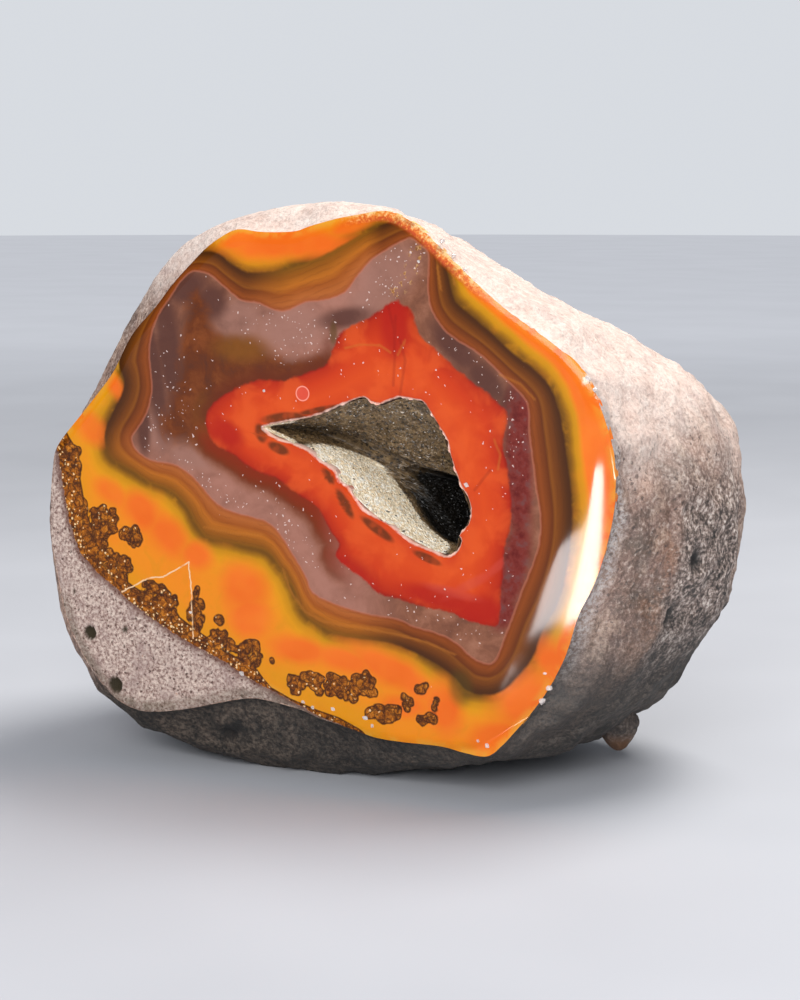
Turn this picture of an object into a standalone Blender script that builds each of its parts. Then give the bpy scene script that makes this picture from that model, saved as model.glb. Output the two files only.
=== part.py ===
"""Agate geode: a nodule sawn open, its cut face polished, resting on its rounded underside.

Metres, +Z up. The origin lies on the small flat spot underneath. The sawn face is upright and
looks along -Y, and +X is to the right of somebody who looks at that face.

Lengths below are in millimetres, and MM turns them into metres where the shapes are made.
"""
import math
import random

import bmesh
import bpy
from mathutils import Matrix, Vector, noise

MM = 0.001

# The nodule as a whole
FACE_Y = -22.0                   # plane of the saw cut
NODULE_DEPTH = 55.0              # from the saw cut to the back
CENTRE_X, CENTRE_Z = -5.0, 34.0  # the middle that every radius is measured from
COLUMNS = 84                     # points round each ring of the body

# x, z of the sawn face's edge, from the left end of the agate over the top and back underneath
FACE_OUTLINE = (
    (-39.4, 41.9), (-35.8, 46.0), (-33.0, 49.1), (-30.7, 51.9), (-27.9, 56.6), (-24.4, 60.2),
    (-21.8, 63.2), (-18.8, 66.1), (-16.5, 68.1), (-13.6, 69.8), (-11.8, 70.2), (-9.2, 69.9),
    (-4.6, 70.0), (-2.2, 70.7), (1.3, 71.6), (4.1, 72.1), (7.5, 72.6), (10.0, 72.0),
    (13.0, 70.2), (17.7, 66.0), (23.3, 61.4), (29.8, 57.2), (32.5, 55.0), (34.4, 52.5),
    (35.8, 49.5), (36.7, 46.6), (37.2, 43.9), (37.2, 40.4), (36.8, 36.6), (35.7, 32.2),
    (34.4, 28.5), (32.6, 24.8), (31.0, 20.0), (29.3, 16.5), (27.5, 13.5), (25.1, 10.3),
    (23.2, 8.0), (21.4, 6.6), (18.4, 6.8), (15.2, 7.3), (10.0, 7.3), (6.4, 7.5),
    (3.0, 8.3), (-1.5, 9.2), (-4.1, 10.0), (-9.8, 10.8), (-13.6, 10.3), (-20.4, 8.5),
    (-25.8, 7.6), (-28.8, 7.8), (-31.5, 9.0), (-33.9, 11.2), (-36.2, 14.2), (-38.7, 19.2),
    (-40.5, 27.6), (-40.9, 31.9), (-40.3, 38.8),
)

# The body behind the face: radii every 15 degrees, from the right, turning up over the top
SECTION_GAP = 8.0
BODY_SECTIONS = (
    (42.5, 43.5, 43.5, 41.5, 40.5, 41.0, 38.0, 38.0, 36.5, 33.5, 33.0, 34.0,
     37.0, 37.5, 38.2, 37.3, 33.2, 30.7, 29.5, 30.5, 33.0, 38.5, 39.0, 40.0),
    (45.5, 45.5, 43.5, 40.5, 38.5, 40.0, 39.0, 39.0, 38.5, 36.5, 36.0, 37.5,
     40.0, 41.0, 42.2, 41.4, 38.2, 35.2, 33.6, 34.0, 36.3, 40.2, 42.0, 44.0),
    (48.0, 47.5, 44.0, 39.0, 37.0, 38.5, 38.5, 39.0, 39.0, 37.5, 37.5, 39.0,
     40.5, 42.0, 42.8, 41.9, 39.3, 36.0, 34.4, 35.2, 37.2, 42.2, 45.0, 47.0),
    (49.5, 49.0, 43.0, 37.5, 35.5, 37.0, 37.5, 38.0, 38.0, 37.0, 37.0, 38.5,
     40.0, 41.0, 41.5, 41.0, 39.0, 36.0, 34.4, 35.2, 37.6, 42.9, 46.3, 48.5),
    (48.5, 47.5, 41.0, 35.5, 33.5, 35.0, 35.5, 36.0, 36.0, 35.5, 35.5, 36.5,
     38.0, 39.0, 39.5, 39.0, 37.5, 35.2, 34.1, 35.0, 37.5, 42.5, 46.0, 47.5),
)
BACK_ROUND, BACK_BLUNT = 2.1, 0.65   # how the back closes behind the last section
RING_DEPTHS = (0.9, 2.4, 4.2, 6.3, 8.6, 11.0, 13.5, 16.0, 18.5, 21.0, 23.5, 26.0, 28.5, 31.0,
               33.5, 36.0, 38.5, 41.0, 43.4, 45.7, 47.9, 49.9, 51.6, 53.0, 54.0, 54.6)

# The polished rim: it rolls over a little everywhere, and broadly along the lower right
ROLL_DROP, ROLL_WIDTH = 0.3, 1.4
BROAD_DROP, BROAD_WIDTH = 2.3, 8.6
BROAD_FROM, BROAD_FULL_FROM, BROAD_FULL_TO, BROAD_TO = -50.0, -28.0, -4.0, 14.0  # degrees
ROLL_STEPS = (1.0, 0.7, 0.4, 0.18, 0.0)

# The weathered skin
LUMP_SIZE, LUMP_HEIGHT = 13.0, 0.6
KNOB_SIZE, KNOB_HEIGHT = 5.2, 0.55
RIDGE_SIZE, RIDGE_HEIGHT = 9.0, 1.0
ROUGH_MIDDLE, ROUGH_SPREAD = -35.0, 120.0  # degrees: the flank and underside that are most worn
LEDGE_DEPTH, LEDGE_HEIGHT, LEDGE_FROM, LEDGE_TO = 10.5, 0.6, -24.0, 16.0
CHIP_FROM, CHIP_TO = -128.0, -62.0   # the broken band under the sawn face, in degrees
CHIP_HEIGHT = 0.9

# Pits in the skin: x, y, z of the middle, radii along x, y and z
PITS = (
    (43.9, 9.5, 25.4, 1.6, 1.2, 2.6),
    (42.0, 10.6, 18.4, 1.5, 1.0, 2.0),
    (44.6, -7.0, 30.2, 2.4, 2.2, 2.4),
    (45.3, -3.0, 26.6, 2.6, 2.4, 1.9),
    (43.9, -9.6, 36.6, 1.9, 1.4, 1.3),
    (41.6, -8.6, 22.8, 2.3, 1.6, 2.6),
    (45.6, 1.4, 40.2, 1.8, 2.4, 1.5),
    (-16.1, -20.2, 4.9, 1.7, 3.0, 1.1),
    (-33.1, -22.6, 9.4, 0.9, 2.2, 1.2),
    (-45.2, -8.0, 38.0, 1.6, 2.4, 2.0),
    (-44.6, 2.5, 20.0, 1.8, 2.0, 1.4),
    (-30.6, 8.0, 62.2, 2.2, 1.6, 1.6),
    (-12.0, 12.0, 71.4, 2.4, 2.8, 1.5),
    (14.5, 27.4, 46.0, 2.6, 1.4, 2.0),
    (-17.0, 31.0, 28.0, 2.8, 1.8, 2.2),
    (2.0, 31.8, 20.4, 1.6, 1.4, 1.4),
)
# Gas bubbles that the saw opened in the rock: x, z on the face and radius
BUBBLES = ((-35.0, 17.3, 0.95), (-29.6, 18.2, 0.45), (-37.3, 22.6, 0.35))
BUBBLE_DEPTH_RATIO = 0.9

# The drip-shaped nub under the right flank: top and tip, and radius at the top
NUB_TOP, NUB_TIP, NUB_RADIUS = (28.6, 5.4, 8.4), (28.6, 6.0, 1.9), 3.3

# The hollow: depth below the face, then x, z round it, from its left tip over the top
POCKET_SECTIONS = (
    (0.0, (
        (-9.0, 45.6), (-5.1, 46.6), (-0.5, 47.8), (3.0, 49.3), (5.2, 49.9), (7.3, 49.2),
        (10.1, 50.1), (13.1, 49.6), (15.1, 46.8), (16.6, 43.3), (18.0, 39.7), (19.3, 36.7),
        (18.9, 35.2), (17.8, 33.4), (17.2, 31.5), (14.6, 31.6), (10.4, 33.3), (6.6, 35.4),
        (4.0, 37.4), (1.8, 39.6), (-0.9, 41.9), (-5.1, 43.9))),
    (5.0, (
        (-7.4, 45.2), (-4.4, 46.0), (-0.4, 46.7), (3.0, 47.2), (5.2, 47.2), (7.4, 46.9),
        (10.1, 46.9), (13.0, 46.3), (15.4, 44.8), (17.1, 42.4), (18.6, 39.6), (19.7, 36.7),
        (19.3, 34.7), (18.1, 32.9), (16.4, 31.2), (13.8, 31.2), (9.9, 33.2), (6.4, 35.7),
        (3.8, 37.7), (1.4, 39.8), (-1.4, 41.9), (-4.8, 43.7))),
    (10.0, (
        (-4.0, 43.8), (-2.4, 44.4), (0.6, 44.4), (3.2, 43.7), (5.2, 43.0), (7.6, 42.4),
        (10.2, 42.0), (12.4, 41.7), (14.8, 41.2), (17.0, 40.0), (18.7, 38.2), (19.4, 36.2),
        (19.0, 34.0), (17.6, 31.6), (15.4, 29.8), (12.8, 30.2), (9.9, 32.6), (7.0, 35.6),
        (4.4, 37.6), (2.4, 38.9), (0.0, 40.7), (-2.6, 42.5))),
    (12.5, (
        (4.6, 39.9), (6.2, 40.6), (8.0, 40.6), (9.6, 40.5), (11.2, 40.3), (12.8, 40.0),
        (14.2, 39.5), (15.6, 38.8), (16.8, 37.9), (17.7, 36.9), (18.2, 35.8), (18.2, 34.8),
        (17.8, 33.4), (17.0, 31.8), (15.8, 30.7), (14.4, 30.4), (12.8, 31.1), (11.2, 32.8),
        (9.6, 34.7), (8.0, 36.4), (6.4, 37.8), (5.0, 39.0))),
)
POCKET_END_DEPTH, POCKET_END_SCALE, POCKET_END_ROUND = 18.5, 0.25, 1.6
POCKET_DEPTHS = (0.0, 2.5, 5.0, 7.5, 10.0, 12.5, 14.0, 15.6, 17.2, POCKET_END_DEPTH)
POCKET_MIDDLE = (14.2, 36.4)

# The crust of crystals that lines the hollow
CRUST_GAP = 0.3                  # clear of the stone all round
CRUST_LIP, CRUST_THICKNESS = 0.4, 1.1  # at the polished face, and deeper in
CRUST_LIP_DEPTH = 3.5
CRUST_TIP_SHARE = 0.25           # how thin the crust gets in the narrow left tip
TIP_STEPS, TIP_PULL = 4, 0.32    # how far the crust stays out of that tip
CRUST_FRONT = 0.5                # the crust's lip lies this far behind the polished face
CRUST_END_FROM, CRUST_END_SHARE = 8.0, 0.3  # it gets thinner towards the hollow's narrow end
CRYSTAL_DEPTHS = (1.0, 2.6, 4.3, 6.0, 7.6, 9.2, 10.6, 12.0, 13.4, 14.8, 16.2, 17.4)
CRYSTAL_HEIGHT = (0.25, 0.75)
CRYSTAL_LEAN = 0.22

SEED = 7


def clamp01(value):
    return min(1.0, max(0.0, value))


def ease(value):
    """0 to 1 with a soft start and a soft end."""
    value = clamp01(value)
    return value * value * (3.0 - 2.0 * value)


def through(before, start, end, after, t):
    """A smooth step from start to end that also minds its two neighbours."""
    return start + 0.5 * t * (end - before
                              + t * (2.0 * before - 5.0 * start + 4.0 * end - after
                                     + t * (3.0 * (start - end) + after - before)))


def smooth_loop(points, steps):
    """A closed smooth curve through the points, with steps points along each side."""
    count = len(points)
    curve = []
    for i in range(count):
        four = [points[(i + k) % count] for k in (-1, 0, 1, 2)]
        for step in range(steps):
            t = step / steps
            curve.append(tuple(through(*(p[axis] for p in four), t) for axis in (0, 1)))
    return curve


def polar_table(curve):
    """The curve as (angle in degrees, radius) about the nodule's middle, in order of angle."""
    table = []
    for x, z in curve:
        angle = math.degrees(math.atan2(z - CENTRE_Z, x - CENTRE_X)) % 360.0
        table.append((angle, math.hypot(x - CENTRE_X, z - CENTRE_Z)))
    return sorted(table)


FACE_TABLE = polar_table(smooth_loop(FACE_OUTLINE, 6))


def face_radius(angle):
    """Distance from the middle to the sawn face's edge in one direction."""
    angle %= 360.0
    previous = (FACE_TABLE[-1][0] - 360.0, FACE_TABLE[-1][1])
    for entry in FACE_TABLE + [(FACE_TABLE[0][0] + 360.0, FACE_TABLE[0][1])]:
        if entry[0] >= angle:
            span = entry[0] - previous[0]
            t = (angle - previous[0]) / span if span > 1e-9 else 0.0
            return previous[1] + t * (entry[1] - previous[1])
        previous = entry
    return previous[1]


def row_radius(row, angle):
    """One body section's radius in one direction."""
    place = (angle % 360.0) / (360.0 / len(row))
    i = int(place)
    four = [row[(i + k) % len(row)] for k in (-1, 0, 1, 2)]
    return through(*four, place - i)


def closing(depth):
    """How far the back has closed behind the last section, from 1 down to 0."""
    last = SECTION_GAP * (len(BODY_SECTIONS) - 1)
    share = clamp01((depth - last) / (NODULE_DEPTH - last))
    return (1.0 - share ** BACK_ROUND) ** BACK_BLUNT


def body_radius(angle, depth):
    """The body's radius behind the face, without its lumps."""
    last = len(BODY_SECTIONS) - 1
    place = min(depth / SECTION_GAP, last)
    i = min(int(place), last - 1)
    radii = [row_radius(row, angle) for row in BODY_SECTIONS]
    radii.append(radii[-1] * closing(SECTION_GAP * (last + 1)))
    four = (radii[max(i - 1, 0)], radii[i], radii[i + 1], radii[i + 2])
    return through(*four, place - i) * closing(depth)


def signed(angle):
    return (angle + 180.0) % 360.0 - 180.0


def broad_share(angle):
    """1 along the lower right, where the polish rolls broadly over the rim, and 0 elsewhere."""
    angle = signed(angle)
    rise = ease((angle - BROAD_FROM) / (BROAD_FULL_FROM - BROAD_FROM))
    return rise * ease((BROAD_TO - angle) / (BROAD_TO - BROAD_FULL_TO))


def rim_drop(angle):
    """How far behind the saw plane the rim lies in one direction."""
    return ROLL_DROP + BROAD_DROP * broad_share(angle)


def rim_width(angle):
    return ROLL_WIDTH + BROAD_WIDTH * broad_share(angle)


def place_on(angle, radius, y):
    turn = math.radians(angle)
    return Vector((CENTRE_X + radius * math.cos(turn), y, CENTRE_Z + radius * math.sin(turn)))


def skin_relief(point, angle, depth):
    """Height of the lumps, the ledge and the chips at one point of the skin."""
    lumps = LUMP_HEIGHT * noise.noise(point / LUMP_SIZE)
    knobs = KNOB_HEIGHT * noise.noise(point / KNOB_SIZE + Vector((9.0, 4.0, 2.0)))
    crest = 0.35 - 1.6 * abs(noise.noise(point / RIDGE_SIZE + Vector((1.0, 7.0, 4.0))))
    side = signed(angle)
    rough = 0.3 + 0.7 * ease(1.4 - abs(signed(angle - ROUGH_MIDDLE)) / ROUGH_SPREAD)
    near_ledge = ease((side - LEDGE_FROM) / 6.0) * ease((LEDGE_TO - side) / 6.0)
    worn_front = ease((depth - 1.5) / 2.0) * ease((LEDGE_DEPTH + 0.8 - depth) / 1.6)
    ledge = -LEDGE_HEIGHT * near_ledge * worn_front
    in_chip = ease((side - CHIP_FROM) / 8.0) * ease((CHIP_TO - side) / 8.0)
    flakes = -abs(noise.noise(point / 7.0 + Vector((3.0, 8.0, 5.0))))
    chips = CHIP_HEIGHT * flakes * in_chip * ease((9.0 - depth) / 4.0)
    worn = lumps + (knobs + RIDGE_HEIGHT * crest) * rough
    return worn * ease(depth / 3.0) + ledge + chips * ease(depth / 1.5)


def rolled_ring(share):
    """A ring of the polished rim, at this share of the rim's width in from its edge."""
    ring = []
    for column in range(COLUMNS):
        angle = 360.0 * column / COLUMNS
        radius = face_radius(angle) - rim_width(angle) * share
        ring.append(place_on(angle, radius, FACE_Y + rim_drop(angle) * (1.0 - share) ** 2))
    return ring


def body_ring(depth):
    """A ring of the skin. The first few lean back where the rim lies behind the saw plane."""
    ring = []
    for column in range(COLUMNS):
        angle = 360.0 * column / COLUMNS
        drop = rim_drop(angle) * ease((14.0 - depth) / 14.0)
        behind = depth + drop
        to_body = ease(depth / 4.5)
        radius = face_radius(angle) * (1.0 - to_body) + body_radius(angle, behind) * to_body
        point = place_on(angle, radius, FACE_Y + behind)
        radius += skin_relief(point, angle, depth) * closing(depth)
        ring.append(place_on(angle, radius, FACE_Y + min(behind, NODULE_DEPTH - 0.3)))
    return ring


def wrap_grid(bm, rings):
    """Wrap a grid into a tube through the rings, weld its seam and close both ends."""
    around = len(rings[0])
    made = bmesh.ops.create_grid(bm, x_segments=around, y_segments=len(rings) - 1, size=1.0)
    for index, vert in enumerate(made["verts"]):
        row, column = divmod(index, around + 1)
        vert.co = rings[row][column % around] * MM
    bmesh.ops.remove_doubles(bm, verts=bm.verts, dist=1e-7)
    open_edges = [edge for edge in bm.edges if edge.is_boundary]
    bmesh.ops.holes_fill(bm, edges=open_edges, sides=0)
    bmesh.ops.recalc_face_normals(bm, faces=bm.faces)


def finish_mesh(bm, name):
    mesh = bpy.data.meshes.new(name)
    bm.to_mesh(mesh)
    bm.free()
    return mesh


def add_object(name, mesh, material=None):
    obj = bpy.data.objects.new(name, mesh)
    bpy.context.collection.objects.link(obj)
    if material:
        mesh.materials.append(material)
    return obj


def make_material(name, colour, roughness, coat=0.0):
    material = bpy.data.materials.new(name)
    material.use_nodes = True
    shader = material.node_tree.nodes["Principled BSDF"]
    shader.inputs["Base Color"].default_value = (*colour, 1.0)
    shader.inputs["Roughness"].default_value = roughness
    shader.inputs["Metallic"].default_value = 0.0
    shader.inputs["Coat Weight"].default_value = coat
    return material


def blunt_tip(loop):
    """Draw the narrow left tip of a loop in, so that the crust keeps room there."""
    ahead, behind = loop[TIP_STEPS], loop[-TIP_STEPS]
    inner = tuple(0.5 * (a + b) for a, b in zip(ahead, behind))
    for i in range(1 - TIP_STEPS, TIP_STEPS):
        pull = TIP_PULL * (1.0 - abs(i) / TIP_STEPS)
        loop[i] = tuple(v + (m - v) * pull for v, m in zip(loop[i], inner))
    return loop


def pocket_loop(depth, inset):
    """The hollow's outline at one depth, moved inwards by inset, as x, z pairs."""
    last = len(POCKET_SECTIONS) - 1
    if depth >= POCKET_SECTIONS[last][0]:
        base = POCKET_SECTIONS[last][1]
        share = clamp01((depth - POCKET_SECTIONS[last][0])
                        / (POCKET_END_DEPTH - POCKET_SECTIONS[last][0]))
        scale = 1.0 - (1.0 - POCKET_END_SCALE) * share ** POCKET_END_ROUND
        points = [tuple(m + (v - m) * scale for v, m in zip(p, POCKET_MIDDLE)) for p in base]
    else:
        i = max(k for k in range(last) if POCKET_SECTIONS[k][0] <= depth)
        rows = [POCKET_SECTIONS[min(max(i + k, 0), last)] for k in (-1, 0, 1, 2)]
        t = (depth - rows[1][0]) / (rows[2][0] - rows[1][0])
        points = []
        for four in zip(*(row[1] for row in rows)):
            points.append(tuple(through(*(p[axis] for p in four), t) for axis in (0, 1)))
    loop = smooth_loop(points, 2)
    if inset > 0.0:
        loop = blunt_tip(loop)
    count = len(loop)
    moved = []
    for i, (x, z) in enumerate(loop):
        before, after = loop[i - 1], loop[(i + 1) % count]
        along = Vector((after[0] - before[0], after[1] - before[1])).normalized()
        steps_from_tip = min(i, count - i)
        share = 1.0
        if inset > CRUST_GAP:
            thin = CRUST_TIP_SHARE + (1.0 - CRUST_TIP_SHARE) * ease(steps_from_tip / 5.0)
            share = (CRUST_GAP + (inset - CRUST_GAP) * thin) / inset
        moved.append((x + along.y * inset * share, z - along.x * inset * share))
    return moved


def pocket_ring(depth, inset=0.0, behind=None):
    y = FACE_Y + (depth if behind is None else behind)
    return [Vector((x, y, z)) for x, z in pocket_loop(depth, inset)]


def make_pocket_cutter():
    bm = bmesh.new()
    rings = [pocket_ring(0.0, behind=-1.5)] + [pocket_ring(depth) for depth in POCKET_DEPTHS]
    wrap_grid(bm, rings)
    return add_object("cutter_hollow", finish_mesh(bm, "cutter_hollow"))


def make_pit_cutter():
    bm = bmesh.new()
    for x, y, z, rx, ry, rz in PITS:
        place = Matrix.Translation(Vector((x, y, z)) * MM)
        size = Matrix.Diagonal(Vector((rx, ry, rz, 1.0 / MM)) * MM)
        bmesh.ops.create_icosphere(bm, subdivisions=2, radius=1.0, matrix=place @ size)
    for x, z, radius in BUBBLES:
        place = Matrix.Translation(Vector((x, FACE_Y, z)) * MM)
        size = Matrix.Diagonal(Vector((radius, radius * BUBBLE_DEPTH_RATIO, radius, 1.0 / MM)) * MM)
        bmesh.ops.create_icosphere(bm, subdivisions=2, radius=1.0, matrix=place @ size)
    return add_object("cutter_pits", finish_mesh(bm, "cutter_pits"))


def make_nub():
    """A blunt cone that hangs from the right flank."""
    top, tip = Vector(NUB_TOP) * MM, Vector(NUB_TIP) * MM
    bm = bmesh.new()
    bmesh.ops.create_icosphere(bm, subdivisions=2, radius=1.0)
    for vert in bm.verts:
        down = clamp01(0.5 - 0.5 * vert.co.z)
        width = NUB_RADIUS * MM * (1.0 - 0.45 * down)
        middle = top.lerp(tip, down)
        vert.co = Vector((middle.x + vert.co.x * width, middle.y + vert.co.y * width, middle.z))
    return add_object("joiner_nub", finish_mesh(bm, "joiner_nub"))


def hide_tool(obj):
    obj.hide_render = True
    obj.display_type = 'WIRE'


def add_boolean(obj, tool, operation):
    boolean = obj.modifiers.new(tool.name, 'BOOLEAN')
    boolean.operation = operation
    boolean.solver = 'EXACT'
    boolean.object = tool
    hide_tool(tool)


def make_nodule(material):
    """The stone in one piece: agate, the rock that it grew in, and the weathered skin."""
    rings = [rolled_ring(share) for share in ROLL_STEPS]
    rings += [body_ring(depth) for depth in RING_DEPTHS]
    bm = bmesh.new()
    wrap_grid(bm, rings)
    everything = bm.verts[:] + bm.edges[:] + bm.faces[:]
    bmesh.ops.bisect_plane(bm, geom=everything, dist=1e-7, plane_co=(0.0, 0.0, 0.0),
                           plane_no=(0.0, 0.0, -1.0), clear_outer=True)
    bmesh.ops.holes_fill(bm, edges=[edge for edge in bm.edges if edge.is_boundary], sides=0)
    bmesh.ops.recalc_face_normals(bm, faces=bm.faces)
    nodule = add_object("agate_nodule", finish_mesh(bm, "agate_nodule"), material)
    add_boolean(nodule, make_nub(), 'UNION')
    add_boolean(nodule, make_pit_cutter(), 'DIFFERENCE')
    add_boolean(nodule, make_pocket_cutter(), 'DIFFERENCE')
    return nodule


def make_crust(material):
    """The druse: one shell, open to the front, with a flat-faced crystal on each inner face."""
    rings = [pocket_ring(depth, CRUST_GAP, depth - CRUST_GAP) for depth in POCKET_DEPTHS[:0:-1]]
    rings.append(pocket_ring(CRUST_FRONT, CRUST_GAP))
    for depth in CRYSTAL_DEPTHS:
        thickness = CRUST_LIP + (CRUST_THICKNESS - CRUST_LIP) * ease(depth / CRUST_LIP_DEPTH)
        near_end = ease((depth - CRUST_END_FROM) / (POCKET_END_DEPTH - CRUST_END_FROM))
        thickness *= 1.0 - (1.0 - CRUST_END_SHARE) * near_end
        rings.append(pocket_ring(depth, CRUST_GAP + thickness))
    bm = bmesh.new()
    wrap_grid(bm, rings)
    inner = []
    for face in bm.faces:
        middle = face.calc_center_median() / MM
        towards_room = face.normal.dot(Vector((POCKET_MIDDLE[0], 0.0, POCKET_MIDDLE[1]))
                                       - Vector((middle.x, 0.0, middle.z)))
        if towards_room > 0.0 and middle.y > FACE_Y + CRUST_FRONT + 0.3 and len(face.verts) == 4:
            inner.append(face)
    made = bmesh.ops.poke(bm, faces=inner, offset=0.0, center_mode='MEAN')
    chance = random.Random(SEED)
    for tip in made["verts"]:
        reach = min(edge.calc_length() for edge in tip.link_edges)
        height = min(chance.uniform(*CRYSTAL_HEIGHT) * MM, 0.8 * reach)
        lean = Vector([chance.uniform(-CRYSTAL_LEAN, CRYSTAL_LEAN) * reach for _ in range(3)])
        tip.normal_update()
        tip.co += tip.normal * height + lean
    return add_object("druse_crust", finish_mesh(bm, "druse_crust"), material)


def main():
    for obj in list(bpy.data.objects):
        bpy.data.objects.remove(obj, do_unlink=True)
    agate = make_material("polished agate", (0.62, 0.14, 0.03), 0.12, coat=1.0)
    quartz = make_material("sugary quartz", (0.55, 0.50, 0.38), 0.55)
    make_nodule(agate)
    make_crust(quartz)


main()
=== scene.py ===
"""Agate geode, finished: polished agate face, sawn rock, weathered skin and a sugary quartz hollow.

Lengths are in millimetres, with x to the right, y into the stone and z up, and MM makes them metres.
"""

import math

import bmesh
import bpy
import numpy as np
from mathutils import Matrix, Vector, noise


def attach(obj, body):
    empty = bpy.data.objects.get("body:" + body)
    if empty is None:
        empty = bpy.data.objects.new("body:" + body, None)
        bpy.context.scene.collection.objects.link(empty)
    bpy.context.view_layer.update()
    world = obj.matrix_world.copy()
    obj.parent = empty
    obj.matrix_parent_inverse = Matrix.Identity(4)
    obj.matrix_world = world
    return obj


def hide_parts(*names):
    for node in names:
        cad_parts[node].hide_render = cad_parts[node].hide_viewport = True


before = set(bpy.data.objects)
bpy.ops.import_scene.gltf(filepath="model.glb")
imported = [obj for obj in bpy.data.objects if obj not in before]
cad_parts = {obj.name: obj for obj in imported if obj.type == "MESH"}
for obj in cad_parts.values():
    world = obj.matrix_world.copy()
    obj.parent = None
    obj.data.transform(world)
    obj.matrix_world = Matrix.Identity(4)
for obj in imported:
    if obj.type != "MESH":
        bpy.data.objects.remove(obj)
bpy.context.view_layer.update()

MM = 0.001
SEED = 11

# The camera: turned to the right of the sawn face and a little above it
AZIMUTH, ELEVATION = math.radians(25.0), math.radians(8.0)
LENS, SENSOR = 85.0, 36.0
LOOK_AT, LOOK_FROM = (10.0, -22.0, 37.6), 288.06

# The stone's main shape, the same as in its solid
FACE_Y, NODULE_DEPTH = -22.0, 55.0
CENTRE = (-5.0, 34.0)
FACE_OUTLINE = (
    (-39.4, 41.9), (-35.8, 46.0), (-33.0, 49.1), (-30.7, 51.9), (-27.9, 56.6), (-24.4, 60.2),
    (-21.8, 63.2), (-18.8, 66.1), (-16.5, 68.1), (-13.6, 69.8), (-11.8, 70.2), (-9.2, 69.9),
    (-4.6, 70.0), (-2.2, 70.7), (1.3, 71.6), (4.1, 72.1), (7.5, 72.6), (10.0, 72.0),
    (13.0, 70.2), (17.7, 66.0), (23.3, 61.4), (29.8, 57.2), (32.5, 55.0), (34.4, 52.5),
    (35.8, 49.5), (36.7, 46.6), (37.2, 43.9), (37.2, 40.4), (36.8, 36.6), (35.7, 32.2),
    (34.4, 28.5), (32.6, 24.8), (31.0, 20.0), (29.3, 16.5), (27.5, 13.5), (25.1, 10.3),
    (23.2, 8.0), (21.4, 6.6), (18.4, 6.8), (15.2, 7.3), (10.0, 7.3), (6.4, 7.5),
    (3.0, 8.3), (-1.5, 9.2), (-4.1, 10.0), (-9.8, 10.8), (-13.6, 10.3), (-20.4, 8.5),
    (-25.8, 7.6), (-28.8, 7.8), (-31.5, 9.0), (-33.9, 11.2), (-36.2, 14.2), (-38.7, 19.2),
    (-40.5, 27.6), (-40.9, 31.9), (-40.3, 38.8),
)
SECTION_GAP = 8.0
BODY_SECTIONS = (
    (42.5, 43.5, 43.5, 41.5, 40.5, 41.0, 38.0, 38.0, 36.5, 33.5, 33.0, 34.0,
     37.0, 37.5, 38.2, 37.3, 33.2, 30.7, 29.5, 30.5, 33.0, 38.5, 39.0, 40.0),
    (45.5, 45.5, 43.5, 40.5, 38.5, 40.0, 39.0, 39.0, 38.5, 36.5, 36.0, 37.5,
     40.0, 41.0, 42.2, 41.4, 38.2, 35.2, 33.6, 34.0, 36.3, 40.2, 42.0, 44.0),
    (48.0, 47.5, 44.0, 39.0, 37.0, 38.5, 38.5, 39.0, 39.0, 37.5, 37.5, 39.0,
     40.5, 42.0, 42.8, 41.9, 39.3, 36.0, 34.4, 35.2, 37.2, 42.2, 45.0, 47.0),
    (49.5, 49.0, 43.0, 37.5, 35.5, 37.0, 37.5, 38.0, 38.0, 37.0, 37.0, 38.5,
     40.0, 41.0, 41.5, 41.0, 39.0, 36.0, 34.4, 35.2, 37.6, 42.9, 46.3, 48.5),
    (48.5, 47.5, 41.0, 35.5, 33.5, 35.0, 35.5, 36.0, 36.0, 35.5, 35.5, 36.5,
     38.0, 39.0, 39.5, 39.0, 37.5, 35.2, 34.1, 35.0, 37.5, 42.5, 46.0, 47.5),
)
BACK_ROUND, BACK_BLUNT = 2.1, 0.65
ROLL_DROP, ROLL_WIDTH = 0.3, 1.4
BROAD_DROP, BROAD_WIDTH = 2.3, 8.6
CALM_WIDTH = 16.0   # degrees over which the rolled rim evens out the edge's waviness
BROAD_FROM, BROAD_FULL_FROM, BROAD_FULL_TO, BROAD_TO = -50.0, -24.0, -12.0, 26.0
PITS = (
    (43.9, 9.5, 25.4, 1.6, 1.2, 2.6),
    (42.0, 10.6, 18.4, 1.5, 1.0, 2.0),
    (44.6, -7.0, 30.2, 2.4, 2.2, 2.4),
    (45.3, -3.0, 26.6, 2.6, 2.4, 1.9),
    (43.9, -9.6, 36.6, 1.9, 1.4, 1.3),
    (41.6, -8.6, 22.8, 2.3, 1.6, 2.6),
    (45.6, 1.4, 40.2, 1.8, 2.4, 1.5),
    (-16.1, -20.2, 4.9, 1.7, 3.0, 1.1),
    (-33.1, -22.6, 9.4, 0.9, 2.2, 1.2),
    (-45.2, -8.0, 38.0, 1.6, 2.4, 2.0),
    (-44.6, 2.5, 20.0, 1.8, 2.0, 1.4),
    (-30.6, 8.0, 62.2, 2.2, 1.6, 1.6),
    (-12.0, 12.0, 71.4, 2.4, 2.8, 1.5),
    (14.5, 27.4, 46.0, 2.6, 1.4, 2.0),
    (-17.0, 31.0, 28.0, 2.8, 1.8, 2.2),
    (2.0, 31.8, 20.4, 1.6, 1.4, 1.4),
)
BUBBLES = ((-35.0, 17.3, 1.05), (-29.6, 18.2, 0.5), (-37.3, 22.6, 0.35), (-31.2, 10.7, 1.15))
NUB_TOP, NUB_TIP, NUB_RADIUS = (28.6, 5.4, 8.4), (28.6, 6.0, 1.9), 3.3
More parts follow.
